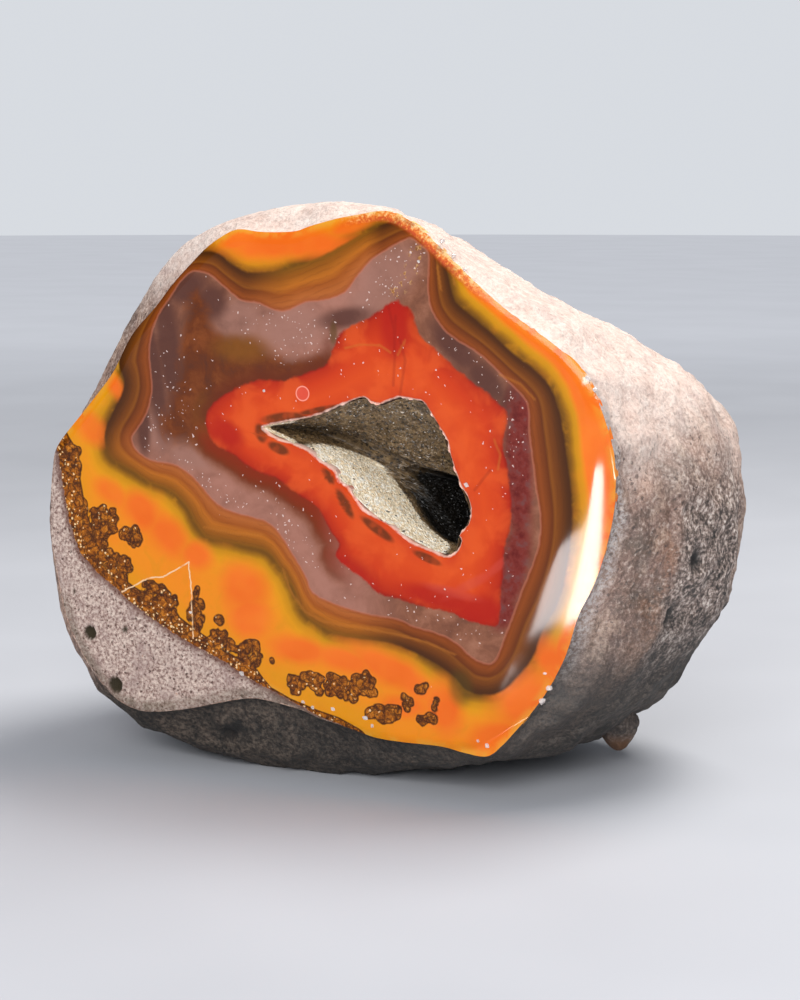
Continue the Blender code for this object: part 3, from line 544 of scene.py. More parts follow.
class Bench:
    """A node tree on the bench: each method adds nodes and gives their output.

    A name in place of a value is the mark of that name, and three numbers in place of a
    colour are its usual 0 to 255 numbers.
    """

    def __init__(self, tree):
        self.tree = tree

    def feed(self, socket, value):
        if isinstance(value, str):
            value = self.node("ShaderNodeAttribute", {}, out=2, attribute_name=value)
        if isinstance(value, bpy.types.NodeSocket):
            self.tree.links.new(value, socket)
        else:
            socket.default_value = value

    def node(self, kind, feeds, out=0, **settings):
        made = self.tree.nodes.new(kind)
        for name, value in settings.items():
            setattr(made, name, value)
        for key, value in feeds.items():
            self.feed(made.inputs[key], value)
        return made.outputs[out]

    def math(self, operation, first, second=0.0, third=0.0, clamp=False):
        return self.node("ShaderNodeMath", {0: first, 1: second, 2: third},
                         operation=operation, use_clamp=clamp)

    def span(self, value, low, high, to_low=0.0, to_high=1.0):
        return self.node("ShaderNodeMapRange", {0: value, 1: low, 2: high, 3: to_low, 4: to_high},
                         interpolation_type='SMOOTHSTEP')

    def times(self, *values):
        product = values[0]
        for value in values[1:]:
            product = self.math('MULTIPLY', product, value)
        return product

    def mix(self, share, first, second, blend='MIX'):
        first, second = (paint(*tone) if isinstance(tone, tuple) else tone
                         for tone in (first, second))
        return self.node("ShaderNodeMix", {0: share, 6: first, 7: second}, out=2,
                         data_type='RGBA', blend_type=blend)

    def over(self, colour, *layers):
        """The colour with layers over it: each is a tone, and shares that are multiplied."""
        for tone, *shares in layers:
            colour = self.mix(self.times(*shares), colour, tone)
        return colour

    def ramp(self, value, *stops):
        """A colour for every value, through stops of a place and a colour's three numbers."""
        out = self.node("ShaderNodeValToRGB", {0: value})
        line = out.node.color_ramp.elements
        while len(line) < len(stops):
            line.new(0.5)
        for element, (place, *tone) in zip(line, stops):
            element.position, element.color = place, paint(*tone)
        return out

    def here(self):
        """The place on the stone in millimetres."""
        place = self.node("ShaderNodeTexCoord", {}, out=3)
        return self.node("ShaderNodeVectorMath", {0: place, 1: (1000.0, 1000.0, 1000.0)},
                         operation='MULTIPLY')

    def cloud(self, where, size, detail=2.0, rough=0.5, bend=0.0):
        return self.node("ShaderNodeTexNoise", {"Vector": where, "Scale": 1.0 / size,
                                                "Detail": detail, "Roughness": rough,
                                                "Distortion": bend})

    def split(self, where):
        """The parts of a place, by name."""
        return self.node("ShaderNodeSeparateXYZ", {0: where}).node.outputs

    def specks(self, where, size, share, reach):
        """Specks in a share of cells of one size, reaching part of the way across them."""
        return self.node("ShaderNodeGroup", {"Place": where, "Size": size, "Share": share,
                                             "Reach": reach}, node_tree=SPECKS)

    def cells(self, where, size, out=0, feature='F1'):
        return self.node("ShaderNodeTexVoronoi", {"Vector": where, "Scale": 1.0 / size}, out=out,
                         feature=feature)

    def moved(self, where, size, by):
        """The same place, shaken by noise of one size."""
        shake = self.node("ShaderNodeTexNoise", {"Vector": where, "Scale": 1.0 / size}, out=1)
        centred = self.node("ShaderNodeVectorMath", {0: shake, 1: (0.5, 0.5, 0.5)},
                            operation='SUBTRACT')
        return self.node("ShaderNodeVectorMath", {0: centred, 1: (by, by, by), 2: where},
                         operation='MULTIPLY_ADD')

    def stroke(self, x, z, start, end, width):
        """A thin straight line on the face from one place to another, 1 along it."""
        (ax, az), (bx, bz) = start, end
        length = math.hypot(bx - ax, bz - az)
        ux, uz = (bx - ax) / length, (bz - az) / length
        aside = self.math('MULTIPLY_ADD', x, -uz,
                          self.math('MULTIPLY_ADD', z, ux, ax * uz - az * ux))
        along = self.math('MULTIPLY_ADD', x, ux,
                          self.math('MULTIPLY_ADD', z, uz, -ax * ux - az * uz))
        past = self.math('MAXIMUM', self.math('MULTIPLY', along, -1.0),
                         self.math('SUBTRACT', along, length))
        away = self.math('MAXIMUM', self.math('ABSOLUTE', aside), past)
        return self.span(away, 0.4 * width, width, 1.0, 0.0)

    def bump(self, height, strength, distance):
        return self.node("ShaderNodeBump", {"Height": height, "Strength": strength,
                                            "Distance": distance})


def speck_group():
    """Scattered specks: a share of small cells each hold one speck."""
    group = bpy.data.node_groups.new("scattered specks", "ShaderNodeTree")
    group.interface.new_socket("Place", in_out='INPUT', socket_type='NodeSocketVector')
    for name, start in (("Size", 1.0), ("Share", 0.3), ("Reach", 0.3)):
        socket = group.interface.new_socket(name, in_out='INPUT', socket_type='NodeSocketFloat')
        socket.default_value = start
    group.interface.new_socket("Mask", in_out='OUTPUT', socket_type='NodeSocketFloat')
    bench = Bench(group)
    given = group.nodes.new("NodeGroupInput").outputs
    cell = bench.cells(given["Place"], 1.0).node
    bench.feed(cell.inputs["Scale"], bench.math('DIVIDE', 1.0, given["Size"]))
    luck = bench.node("ShaderNodeSeparateColor", {0: cell.outputs["Color"]}).node.outputs
    chosen = bench.math('LESS_THAN', luck[0], given["Share"])
    size = bench.times(given["Reach"], bench.math('ADD', luck[1], 0.35))
    speck = bench.math('SUBTRACT', size, cell.outputs["Distance"])
    sharp = bench.math('MULTIPLY', speck, 12.0, clamp=True)
    bench.feed(group.nodes.new("NodeGroupOutput").inputs["Mask"], bench.times(sharp, chosen))
    return group


SPECKS = speck_group()


def new_material(name, roughness=0.5):
    material = bpy.data.materials.new(name)
    material.use_nodes = True
    shader = material.node_tree.nodes["Principled BSDF"]
    shader.inputs["Roughness"].default_value = roughness
    return material, shader, Bench(material.node_tree)


def sawn_rock_look(bench, where):
    """Colour and height of the sawn, unpolished rock."""
    grain = bench.cloud(bench.moved(where, 0.6, 0.3), 0.42, 3.0, 0.7)
    ground = bench.ramp(grain, (0.3, 92, 66, 58), (0.42, 164, 136, 126), (0.52, 204, 180, 168),
                        (0.66, 238, 218, 204))
    broad = bench.cloud(where, 3.2, 4.0, 0.6)
    dark = bench.specks(bench.moved(where, 0.3, 0.5), 0.62, 0.3, 0.3)
    rust = bench.specks(bench.moved(where, 0.5, 0.7), 1.6, 0.3, 0.16)
    ground = bench.over(ground, ((164, 138, 132), bench.span(broad, 0.46, 0.7, 0.0, 0.55)),
                        ((74, 48, 40), dark, 0.8), ((168, 92, 44), rust, 0.8))
    return ground, bench.cloud(where, 0.4, 3.0, 0.75)


def moss_look(bench, where, rock):
    """Dark lobed outlines round a golden middle, with painted glints of glitter beside the rock."""
    net = bench.cells(bench.moved(where, 0.9, 1.6), 1.15, feature='DISTANCE_TO_EDGE')
    gold = bench.ramp(bench.cloud(where, 0.7, 4.0, 0.7, 0.6), (0.32, 70, 32, 4),
                      (0.45, 128, 66, 8), (0.56, 176, 100, 16), (0.7, 222, 142, 44))
    # Painted highlights: pale specks that stand for glitter, thicker beside the rock
    painted_glitter = bench.specks(bench.moved(where, 0.3, 0.4), 0.42,
                           bench.span(rock, 0.3, 3.2, 0.5, 0.08), 0.36)
    rim = bench.span(bench.math('ABSOLUTE', "moss"), 0.05, 0.2, 1.0, 0.0)
    return bench.over(gold, ((58, 28, 6), bench.span(net, 0.02, 0.14, 1.0, 0.0), 0.75),
                      ((252, 214, 156), painted_glitter, 0.9), ((66, 30, 6), rim, 0.85))


def outer_bands(bench, where, sway, streaks, brown):
    """Olive to yellow away from the brown band, with orange over it."""
    outside = bench.math('MULTIPLY_ADD', sway, 1.2, bench.times(brown, -1.0))
    yellow = bench.ramp(bench.span(outside, -0.1, 5.0), (0.0, 112, 70, 8), (0.05, 150, 98, 8),
                        (0.16, 200, 136, 10), (0.4, 226, 150, 14), (0.7, 238, 146, 22),
                        (1.0, 240, 140, 24))
    orange = bench.ramp(bench.cloud(where, 6.5, 2.0, 0.5), (0.35, 238, 106, 24),
                        (0.6, 244, 116, 32), (0.8, 246, 130, 36))
    spread = bench.math('MULTIPLY_ADD', sway, 0.9, "orange", clamp=True)
    return bench.over(yellow, ((224, 148, 12), bench.span("rock", 2.0, 5.5, 0.8, 0.0)),
                      ((214, 140, 14), bench.span(streaks, 0.5, 0.72, 0.0, 0.35)),
                      (orange, spread),
                      ((232, 170, 60), bench.span("edge", 0.1, 1.1, 0.55, 0.0),
                       bench.span(streaks, 0.4, 0.6)))


def brown_band(bench, streaks, brown):
    """The brown band with its fine lines, lighter where honey shows through."""
    share = bench.math('SUBTRACT', "band", 1.0)
    earth = bench.ramp(share, (0.0, 68, 34, 6), (0.16, 84, 43, 8), (0.4, 116, 60, 12),
                       (0.52, 134, 74, 18), (0.6, 104, 48, 10), (0.85, 140, 68, 20),
                       (1.0, 122, 54, 18))
    honey = bench.ramp(share, (0.0, 128, 80, 10), (0.2, 148, 84, 14), (0.45, 184, 104, 26),
                       (0.62, 160, 82, 24), (0.85, 178, 98, 42), (1.0, 160, 82, 40))
    lines = bench.math('SINE', bench.math('MULTIPLY_ADD', brown, 9.0, bench.times(streaks, 8.0)))
    return bench.over(earth, (honey, "honey"),
                      ((66, 32, 8), bench.span(lines, 0.3, 1.0), bench.span(streaks, 0.35, 0.6), 0.14))


def cloudy_quartz(bench, where, red):
    """The quartz between the brown band and the red: lilac, with clouds in it."""
    veil = bench.cloud(where, 3.2, 5.0, 0.65, 0.4)
    held = bench.span(veil, 0.2, 0.5, 0.6, 1.0)
    quartz = bench.ramp(veil, (0.3, 104, 62, 46), (0.5, 134, 84, 62), (0.7, 162, 108, 84))
    cloud = bench.math('MULTIPLY_ADD', bench.math('SUBTRACT', veil, 0.5), 3.5, "amber")
    amber = bench.ramp(veil, (0.35, 84, 36, 10), (0.5, 108, 50, 14), (0.65, 128, 64, 22))
    scorch = bench.ramp(bench.span(red, -3.4, -0.2), (0.0, 136, 76, 44), (0.45, 114, 48, 14),
                        (1.0, 132, 40, 6))
    plum = bench.ramp(bench.cloud(where, 1.3, 4.0, 0.6), (0.35, 100, 24, 20), (0.5, 124, 44, 36),
                      (0.7, 110, 66, 64))
    grit = bench.ramp(bench.cells(where, 0.35), (0.1, 60, 34, 14), (0.4, 176, 116, 50),
                      (0.8, 222, 178, 120))
    gritty = bench.specks(bench.moved(where, 0.4, 0.6), 0.5, 0.6, 0.5)
    return bench.over(quartz, ((172, 118, 102), bench.span(veil, 0.3, 0.7, 0.6, 0.95), "honey"),
                      ((160, 114, 100), "lilac", held, 0.75),
                      ((86, 50, 42), "shade", held, 0.9),
                      (amber, bench.span(cloud, -0.7, 1.4), held, 0.97),
                      ((128, 76, 18), "olive", held, 0.8),
                      ((102, 40, 14), bench.span(red, -2.4, -0.1), "burnt", 0.85),
                      (scorch, bench.span(red, -3.4, -1.4), "scorch"),
                      (plum, "plum"),
                      (grit, gritty, "grit", 0.8))


def flame_red(bench, where):
    """The red zone round the hollow, with its amber blotches."""
    flame = bench.ramp(bench.math('SUBTRACT', "band", 3.0), (0.0, 150, 24, 6), (0.06, 182, 40, 8),
                       (0.3, 206, 58, 14), (0.65, 218, 74, 20), (1.0, 208, 64, 20))
    mottled = bench.cloud(where, 4.0, 3.0, 0.5, 0.4)
    worn = bench.span(bench.cloud(where, 1.3, 1.5, 0.5), 0.3, 0.55, 0.6, 0.92)
    return bench.over(flame, ((230, 92, 32), bench.span(mottled, 0.45, 0.7, 0.0, 0.55)),
                      ((176, 22, 8), "deep", 0.8), ((206, 76, 62), "arcs", 0.4),
                      ((104, 46, 10), "blotch", worn))


def bubble_ring(bench, where, colour):
    """The small round bubble in the red, with its lighter skin."""
    bubble_x, bubble_z, size = PINK_BUBBLE
    place = bench.split(where)
    across = bench.math('SUBTRACT', place["X"], bubble_x)
    up = bench.math('SUBTRACT', place["Z"], bubble_z)
    away = bench.math('SQRT', bench.math('MULTIPLY_ADD', across, across, bench.times(up, up)))
    skin = bench.math('ABSOLUTE', bench.math('SUBTRACT', away, size - 0.07))
    return bench.over(colour, ((228, 84, 66), bench.span(away, size - 0.15, size, 0.75, 0.0)),
                      ((250, 158, 138), bench.span(skin, 0.03, 0.12, 0.9, 0.0)))


def white_vein(bench, where):
    """The thin broken vein that stands like a tent in the lower left of the face."""
    place = bench.split(bench.moved(where, 0.8, 0.35))
    vein = 0.0
    for start, end in zip(VEIN, VEIN[1:]):
        vein = bench.math('MAXIMUM', vein, bench.stroke(place["X"], place["Z"], start, end, 0.13))
    return bench.times(vein, bench.span(bench.cloud(where, 0.9), 0.36, 0.5, 0.35, 0.92))


def polished_agate():
    material, shader, bench = new_material("polished banded agate", 0.09)
    shader.inputs["Specular IOR Level"].default_value = 0.26
    where = bench.here()
    wobble = bench.math('SUBTRACT', bench.cloud(where, 1.3, 3.0, 0.6), 0.5)
    sway = bench.math('SUBTRACT', bench.cloud(where, 5.0, 2.0), 0.5)
    streaks = bench.cloud(where, 2.6, 3.0, 0.55, 0.6)
    brown, pink, red, rock = (
        bench.math('MULTIPLY_ADD', wobble, share, mark)
        for mark, share in (("brown", 0.25), ("pink", 0.3), ("red", 0.8), ("rock", 0.8)))

    # The bands from the outside in
    pink_line = bench.span(bench.math('ABSOLUTE', pink), 0.04, 0.22, 1.0, 0.0)
    colour = bench.over(outer_bands(bench, where, sway, streaks, brown),
                        (brown_band(bench, streaks, brown), bench.span(brown, -0.25, 0.2)),
                        (cloudy_quartz(bench, where, red), bench.span(pink, -0.05, 0.05)),
                        ((190, 112, 84), pink_line, 0.45),
                        (flame_red(bench, where), bench.span(red, -0.2, 0.2)),
                        ((136, 16, 6), "tear", 0.3), ((196, 118, 40), "gold", 0.35),
                        ((84, 62, 16), "green", 0.6))
    colour = bubble_ring(bench, where, colour)

    # Frost, moss, the vein, chips, both worn edges and dust
    frost = bench.specks(bench.moved(where, 0.6, 0.8), 0.42, bench.times("frost", 0.36), 0.27)
    chips = bench.span(bench.cloud(where, 0.7, 3.0, 0.6), 0.42, 0.56)
    fray = bench.math('MULTIPLY_ADD', "edge", -0.22,
                      bench.math('ADD', bench.cloud(where, 0.5, 3.0, 0.7), 0.1))
    fray = bench.ramp(fray, (0.36, 206, 78, 22), (0.5, 238, 136, 48), (0.64, 250, 206, 140))
    frayed = bench.times("frayed", bench.span(wobble, -0.25, 0.05, 0.5, 1.0))
    jagged = bench.math('MULTIPLY_ADD', wobble, 0.5, "hollow")
    dust = bench.specks(bench.moved(where, 0.5, 0.7), 1.7, 0.4, 0.055)
    colour = bench.over(colour, ((232, 206, 198), frost, 0.8),
                        (moss_look(bench, where, rock), bench.span("moss", -0.16, 0.02)),
                        ((246, 208, 164), white_vein(bench, where)),
                        ((246, 232, 205), "chips", chips),
                        (fray, frayed),
                        ((246, 204, 186), bench.span(jagged, 0.05, 0.3, 0.95, 0.0)),
                        ((250, 222, 196), dust, 0.75))

    # The rock beside the agate
    stone, grain = sawn_rock_look(bench, where)
    stone = bench.over(stone, ((98, 50, 34), bench.span(rock, -1.2, -0.05, 0.0, 0.75)),
                       ((104, 92, 74), "worn_rim"))
    is_rock = bench.span(rock, -0.08, 0.08, 1.0, 0.0)
    # Painted shade in the opened bubbles
    colour = bench.over(colour, (stone, is_rock), ((58, 50, 34), "bubble_dark"))

    bench.feed(shader.inputs["Base Color"], colour)
    polish = bench.math('MULTIPLY_ADD', "roll", 0.05, 0.09)
    polish = bench.math('MULTIPLY_ADD', frayed, 0.5, polish)
    bench.feed(shader.inputs["Roughness"], bench.span(rock, -0.1, 0.1, 0.8, polish))
    bench.feed(shader.inputs["Normal"], bench.bump(bench.times(grain, is_rock), 0.8, 0.0003))
    return material


def weathered_skin():
    material, shader, bench = new_material("weathered skin", 0.75)
    where = bench.here()
    broad = bench.cloud(where, 9.0, 4.0, 0.6)
    middle = bench.cloud(where, 2.4, 5.0, 0.7)
    fine = bench.cloud(where, 0.55, 4.0, 0.75)
    skin_mottle = bench.math('MULTIPLY_ADD', bench.math('SUBTRACT', middle, 0.5), 1.1, fine)
    lighter = bench.cloud(where, 5.0, 3.0, 0.6)
    faint = bench.cloud(where, 4.5, 3.0, 0.6, 1.2)
    clear = bench.math('SUBTRACT', 1.0, bench.math('MAXIMUM', "under", "low"))
    dark = bench.specks(bench.moved(where, 0.5, 0.7), 0.6, 0.34, 0.34)
    light = bench.specks(bench.moved(where, 0.6, 0.6), 0.85, 0.25, 0.3)

    plain = bench.ramp(broad, (0.32, 112, 94, 82), (0.47, 150, 122, 110), (0.6, 190, 156, 138))
    # Painted light, partly: the skin is paler towards the top, its pale rind lightened where light
    # falls from above
    pale = bench.ramp(middle, (0.3, 226, 196, 182), (0.5, 242, 220, 208), (0.7, 250, 236, 226))
    rough = bench.ramp(skin_mottle, (0.3, 40, 35, 32), (0.43, 112, 98, 90), (0.56, 168, 148, 138),
                       (0.74, 240, 228, 218))
    # Painted shade, partly: the chipped underside is coloured dark where it faces down
    under = bench.ramp(skin_mottle, (0.3, 34, 30, 26), (0.5, 70, 61, 53), (0.74, 108, 94, 82))
    colour = bench.over(plain, ((212, 184, 164), bench.span(lighter, 0.52, 0.66, 0.0, 0.7)),
                        ((172, 146, 132), bench.span(middle, 0.5, 0.72, 0.0, 0.6)),
                        (pale, "pale", 0.95),
                        ((208, 182, 174), "pale", bench.span(faint, 0.5, 0.68, 0.0, 0.55)),
                        (rough, "rough"),
                        ((146, 88, 40), "rust", bench.span(middle, 0.38, 0.6), 0.55),
                        ((176, 168, 166), "crest", bench.span(fine, 0.3, 0.6)),
                        (under, "under"),
                        # Painted shade: the lower flank is darkened towards the bottom
                        (bench.mix(0.45, under, (20, 17, 15)), "low", 0.95),
                        ((60, 46, 42), dark, clear, 0.6, bench.span("pale", 0.4, 1.0, 1.0, 0.25)),
                        ((222, 204, 192), light, clear, 0.5))

    grain = bench.ramp(fine, (0.32, 120, 104, 96), (0.44, 196, 184, 176), (0.54, 255, 255, 255))
    worn = bench.math('MULTIPLY_ADD', "pale", -0.5, 0.8)
    colour = bench.mix(worn, colour, grain, 'MULTIPLY')
    colour = bench.over(colour, ((246, 226, 212), bench.span(fine, 0.54, 0.66, 0.0, 0.35), clear),
                        # Painted shade: pit bottoms and the hole in the chipped band are near black
                        ((16, 13, 12), "pit", 0.95), ((104, 62, 16), "nub"))
    bench.feed(shader.inputs["Base Color"], colour)
    bench.feed(shader.inputs["Roughness"], bench.span(fine, 0.3, 0.7, 0.62, 0.85))
    height = bench.math('MULTIPLY_ADD', fine, 0.5, middle)
    bench.feed(shader.inputs["Normal"], bench.bump(height, 0.8, 0.0006))
    return material


def sugary_quartz():
    material, shader, bench = new_material("sugary quartz", 0.45)
    where = bench.here()
    luck = bench.node("ShaderNodeSeparateColor", {0: bench.cells(where, 0.3, out=1)})
    cream = bench.ramp(luck, (0.0, 232, 208, 170), (0.5, 250, 234, 204), (1.0, 255, 250, 238))
    # The wall is coloured darker than the floor, partly as painted shade where the light from above
    # doesn't reach: more black specks, a darker ramp and dark specks
    black = bench.specks(bench.moved(where, 0.4, 0.5), 0.46,
                         bench.span("wall", 0.0, 0.8, 0.1, 0.9), 0.4)
    wall = bench.ramp(bench.cloud(where, 0.9, 5.0, 0.75), (0.34, 44, 33, 21), (0.46, 104, 82, 54),
                      (0.6, 142, 116, 80), (0.74, 190, 164, 124))
    wall_specks_and_shade = bench.specks(bench.moved(where, 0.3, 0.5), 0.5, 0.55, 0.4)
    colour = bench.over(cream, ((40, 33, 24), black, 0.9), (wall, bench.span("wall", 0.35, 0.85)),
                        ((22, 17, 12), wall_specks_and_shade, bench.span("wall", 0.3, 0.9, 0.0, 0.85)),
                        # Painted shade: the deepest part of the hollow is coloured near black
                        ((5, 4, 3), "deep"))
    bench.feed(shader.inputs["Base Color"], colour)
    bench.feed(shader.inputs["Roughness"], bench.span(luck, 0.0, 1.0, 0.3, 0.6))
    return material


def glassy_quartz():
    material, shader, bench = new_material("clear quartz chips", 0.12)
    shader.inputs["Transmission Weight"].default_value = 0.3
    shader.inputs["IOR"].default_value = 1.54
    tone = bench.cloud(bench.here(), 0.5, 2.0)
    bench.feed(shader.inputs["Base Color"],
               bench.ramp(tone, (0.3, 240, 222, 214), (0.7, 255, 250, 246)))
    return material


# The polished plate

def plate_columns():
    """Directions from the plate's middle, spaced evenly along its edge, with both edges' radii."""
    fine = np.arange(0.0, 360.0, 0.1)
    edge = reach_of(smooth_loop(FACE_OUTLINE, 6), PLATE_MIDDLE)
    rim = reach_of(smooth_loop(HOLLOW_EDGE, 6), PLATE_MIDDLE)
    outer = np.interp(fine, *edge, period=360.0)
    travelled = np.concatenate([[0.0], np.cumsum(outer)])
    even = np.linspace(0.0, travelled[-1], PLATE_COLUMNS, endpoint=False)
    angles = np.interp(even, travelled, np.append(fine, 360.0))
    return angles, np.interp(angles, *rim, period=360.0), np.interp(angles, *edge, period=360.0)


def plate_places():
    """x and z on the face, ring by ring from the hollow's broken rim out to the edge."""
    angles, inner, outer = plate_columns()
    turn = np.radians(angles)
    at_rim = np.stack([inner * np.cos(turn), inner * np.sin(turn), 0.0 * turn], 1)
    inner = inner + 0.16 * roughly(at_rim, 0.55) + 0.2 * roughly(at_rim, 1.6)
    share = np.linspace(0.0, 1.0, PLATE_RINGS)[:, None]
    radius = inner + (outer - inner) * share
    return PLATE_MIDDLE[0] + radius * np.cos(turn), PLATE_MIDDLE[1] + radius * np.sin(turn)


def band_marks(x, z):
    """Distances to the lines on the face, and how far each point lies across its band."""
    brown, pink, red = (depth_inside(smooth_loop(line, 3), x, z)
                        for line in (BROWN_OUTER, PINK_LINE, RED_EDGE))
    hollow = distance_to(smooth_loop(HOLLOW_EDGE, 3), x, z)
    rock = -depth_inside(ROCK_EDGE, x, z)
    edge = np.minimum(distance_to(smooth_loop(FACE_OUTLINE, 4), x, z), np.abs(rock))
    band = edge / (edge + np.abs(brown) + 1e-6)
    for number, near, far in ((1.0, brown, pink), (2.0, pink, red), (3.0, red, hollow)):
        band = np.where(near > 0.0, number + near / (near + np.abs(far) + 1e-6), band)
    return {"brown": brown, "pink": pink, "red": red, "hollow": hollow, "rock": rock,
            "edge": edge, "band": band}


def colour_marks(x, z, lines):
    """Where each tint, cloud, line and speck of the face lies."""
    right = rise(x, 12.0, 4.0) * rise(z, 12.0, 6.0)
    low_honey = fall(x, 12.0, 10.0) * fall(z, 46.0, 8.0)
    top_honey = fall(x, 8.0, 3.0) * rise(x, -12.0, 8.0) * rise(z, 50.0, 6.0)
    marks = {
        "orange": np.maximum(patches(ORANGE, x, z, 1.2), right * fall(lines["brown"], -1.5, 1.0)),
        "scorch": fall(x, 6.0, 8.0) * fall(z, 47.0, 4.0),
        "burnt": fall(x, 3.0, 4.0) * rise(z, 44.0, 3.0),
        "honey": np.maximum(low_honey, top_honey),
        "amber": depth_inside(smooth_loop(AMBER_EDGE, 3), x, z),
        "moss": moss_depth(x, z, lines["rock"]),
        "roll": rise(face_depth(x, z), 0.1, 0.8),
        "frayed": fall(lines["edge"], 1.5, 0.7) * rise(x, 1.0, 5.0) * rise(z, 61.0, 4.0),
        "frost": np.maximum(0.12, patches(FROST, x, z, 1.0)) * rise(lines["pink"], 0.0, 0.4),
    }
    marks.update({mark: patches(spots, x, z, soft) for mark, (spots, soft) in SOFT_PATCHES.items()})
    marks.update({mark: strokes(paths, x, z, width) for mark, (paths, width) in THIN_LINES.items()})
    return marks


def make_cut_face(material):
    x, z = plate_places()
    flat = np.stack([x.ravel(), 0.0 * x.ravel(), z.ravel()], 1)
    lines = band_marks(x, z)
    marks = {**lines, **colour_marks(x, z, lines)}

    # Grainy rock, opened bubbles and the broken edge of the hollow
    in_rock = fall(lines["rock"], 0.0, 0.5)
    depth = face_depth(x, z) + in_rock * (0.08 + 0.14 * roughly(flat, 0.9).reshape(x.shape))
    # Painted shade: the opened bubbles in the rock are coloured dark inside
    bubble_dark = np.zeros(x.shape)
    for bubble_x, bubble_z, size in BUBBLES:
        away = np.hypot(x - bubble_x, z - bubble_z)
        depth = depth + 0.55 * np.sqrt(np.maximum(size ** 2 - away ** 2, 0.0))
        bubble_dark = np.maximum(bubble_dark, fall(away, size, 0.2))
    depth = depth + 0.3 * (1.0 - np.clip(lines["hollow"] / 0.35, 0.0, 1.0)) ** 2
    by_rim = fall(distance_to(smooth_loop(FACE_OUTLINE, 4), x, z), 2.0, 1.2) * in_rock
    worn = 0.45 + 0.4 * roughly(flat, 1.6).reshape(x.shape)
    marks.update(bubble_dark=bubble_dark, worn_rim=by_rim * fall(z, 24.0, 5.0) * worn)

    front = np.stack([x, FACE_Y + depth, z], 2)
    back = front[[-1, 0]].copy()
    back[:, :, 1] += PLATE_THICKNESS
    rings = np.concatenate([front, back])
    marks = {name: np.concatenate([values, values[[-1, 0]]]) for name, values in marks.items()}
    mesh = wrapped("cut_face", rings, marks, joined=True)
    mesh.shade_smooth()
    mesh.set_sharp_from_angle(angle=math.radians(55.0))
    flat_map(mesh, FACE_ACROSS, FACE_UP)
    piece = shown("cut_face", mesh, material)
    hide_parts("agate_nodule")
    return piece


# The hollow's walls

def pocket_loop(depth, steps):
    """The hollow's outline at one depth below the face."""
    last = len(POCKET_SECTIONS) - 1
    end_depth, end_points = POCKET_SECTIONS[last]
    if depth >= end_depth:
        share = (depth - end_depth) / (POCKET_END_DEPTH - end_depth)
        scale = 1.0 - (1.0 - POCKET_END_SCALE) * min(share, 1.0) ** POCKET_END_ROUND
        middle = np.array(POCKET_MIDDLE)
        points = middle + (np.array(end_points) - middle) * scale
    else:
        i = max(k for k in range(last) if POCKET_SECTIONS[k][0] <= depth)
        rows = [POCKET_SECTIONS[min(max(i + k, 0), last)] for k in (-1, 0, 1, 2)]
        t = (depth - rows[1][0]) / (rows[2][0] - rows[1][0])
        points = through(*(np.array(row[1]) for row in rows), t)
    return smooth_loop(points, steps)


def drawn_in(loop, inset):
    """The loop moved inwards by inset, which may differ from point to point."""
    along = np.roll(loop, -1, 0) - np.roll(loop, 1, 0)
    along /= np.hypot(along[:, 0], along[:, 1])[:, None] + 1e-9
    return loop + np.stack([along[:, 1], -along[:, 0]], 1) * np.reshape(inset, (-1, 1))


def make_druse(material):
    chance = np.random.default_rng(SEED + 1)
    sides = len(POCKET_SECTIONS[0][1])
    column = np.arange(sides * DRUSE_STEPS) / DRUSE_STEPS
    from_tip = np.minimum(column, sides - column)
    thin = 0.15 + 0.85 * ease(from_tip / 3.0)
    black_shade_from = np.interp(column, *np.array(BLACK_SHADE_FROM).T)
    rings, wall, deep = [], [], []

    def lay(depth, inset, behind, grit=0.0):
        """One ring of the crust, and where it is pale floor, a wall darkened partly as painted shade,
        and black painted as shade deep inside.
        """
        loop = drawn_in(pocket_loop(depth, DRUSE_STEPS), inset)
        ring = np.stack([loop[:, 0], np.full(len(loop), FACE_Y + behind), loop[:, 1]], 1)
        if grit:
            ring += chance.uniform(-grit, grit, ring.shape)
        rings.append(ring)
        # Cream floor; the rest is wall, painted darker partly as shade
        floor = rise(column, 14.2, 0.8) * fall(column, 21.1 - 0.07 * depth, 0.8)
        floor = floor * fall(depth, black_shade_from + 0.6, 1.6)
        floor = np.maximum(floor, fall(from_tip, 1.3, 0.5) * fall(depth, 1.9, 0.9))
        wall.append(1.0 - floor)
        # Painted shade: past the black line the crust turns near black
        deep.append(0.98 * rise(depth, black_shade_from, 2.0))

    for depth in np.linspace(POCKET_END_DEPTH, 0.9, DRUSE_BACK_RINGS):
        lay(depth, 0.12 * thin, depth - 0.12)
    lay(0.3, 0.03, 0.3)
    for depth in np.linspace(0.45, POCKET_END_DEPTH - 0.9, DRUSE_RINGS):
        thickness = 0.1 + 0.95 * ease(depth / 4.0)
        thickness *= 1.0 - 0.65 * rise(depth, 8.0, POCKET_END_DEPTH - 8.0)
        lay(depth, thickness * thin, depth, grit=0.085)
    mesh = wrapped("druse", np.array(rings), {"wall": np.array(wall), "deep": np.array(deep)})
    piece = shown("druse", mesh, material)
    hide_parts("druse_crust")
    return piece


# The weathered stone

def closing(depth):
    last = SECTION_GAP * (len(BODY_SECTIONS) - 1)
    share = np.clip((depth - last) / (NODULE_DEPTH - last), 0.0, 1.0)
    return (1.0 - share ** BACK_ROUND) ** BACK_BLUNT


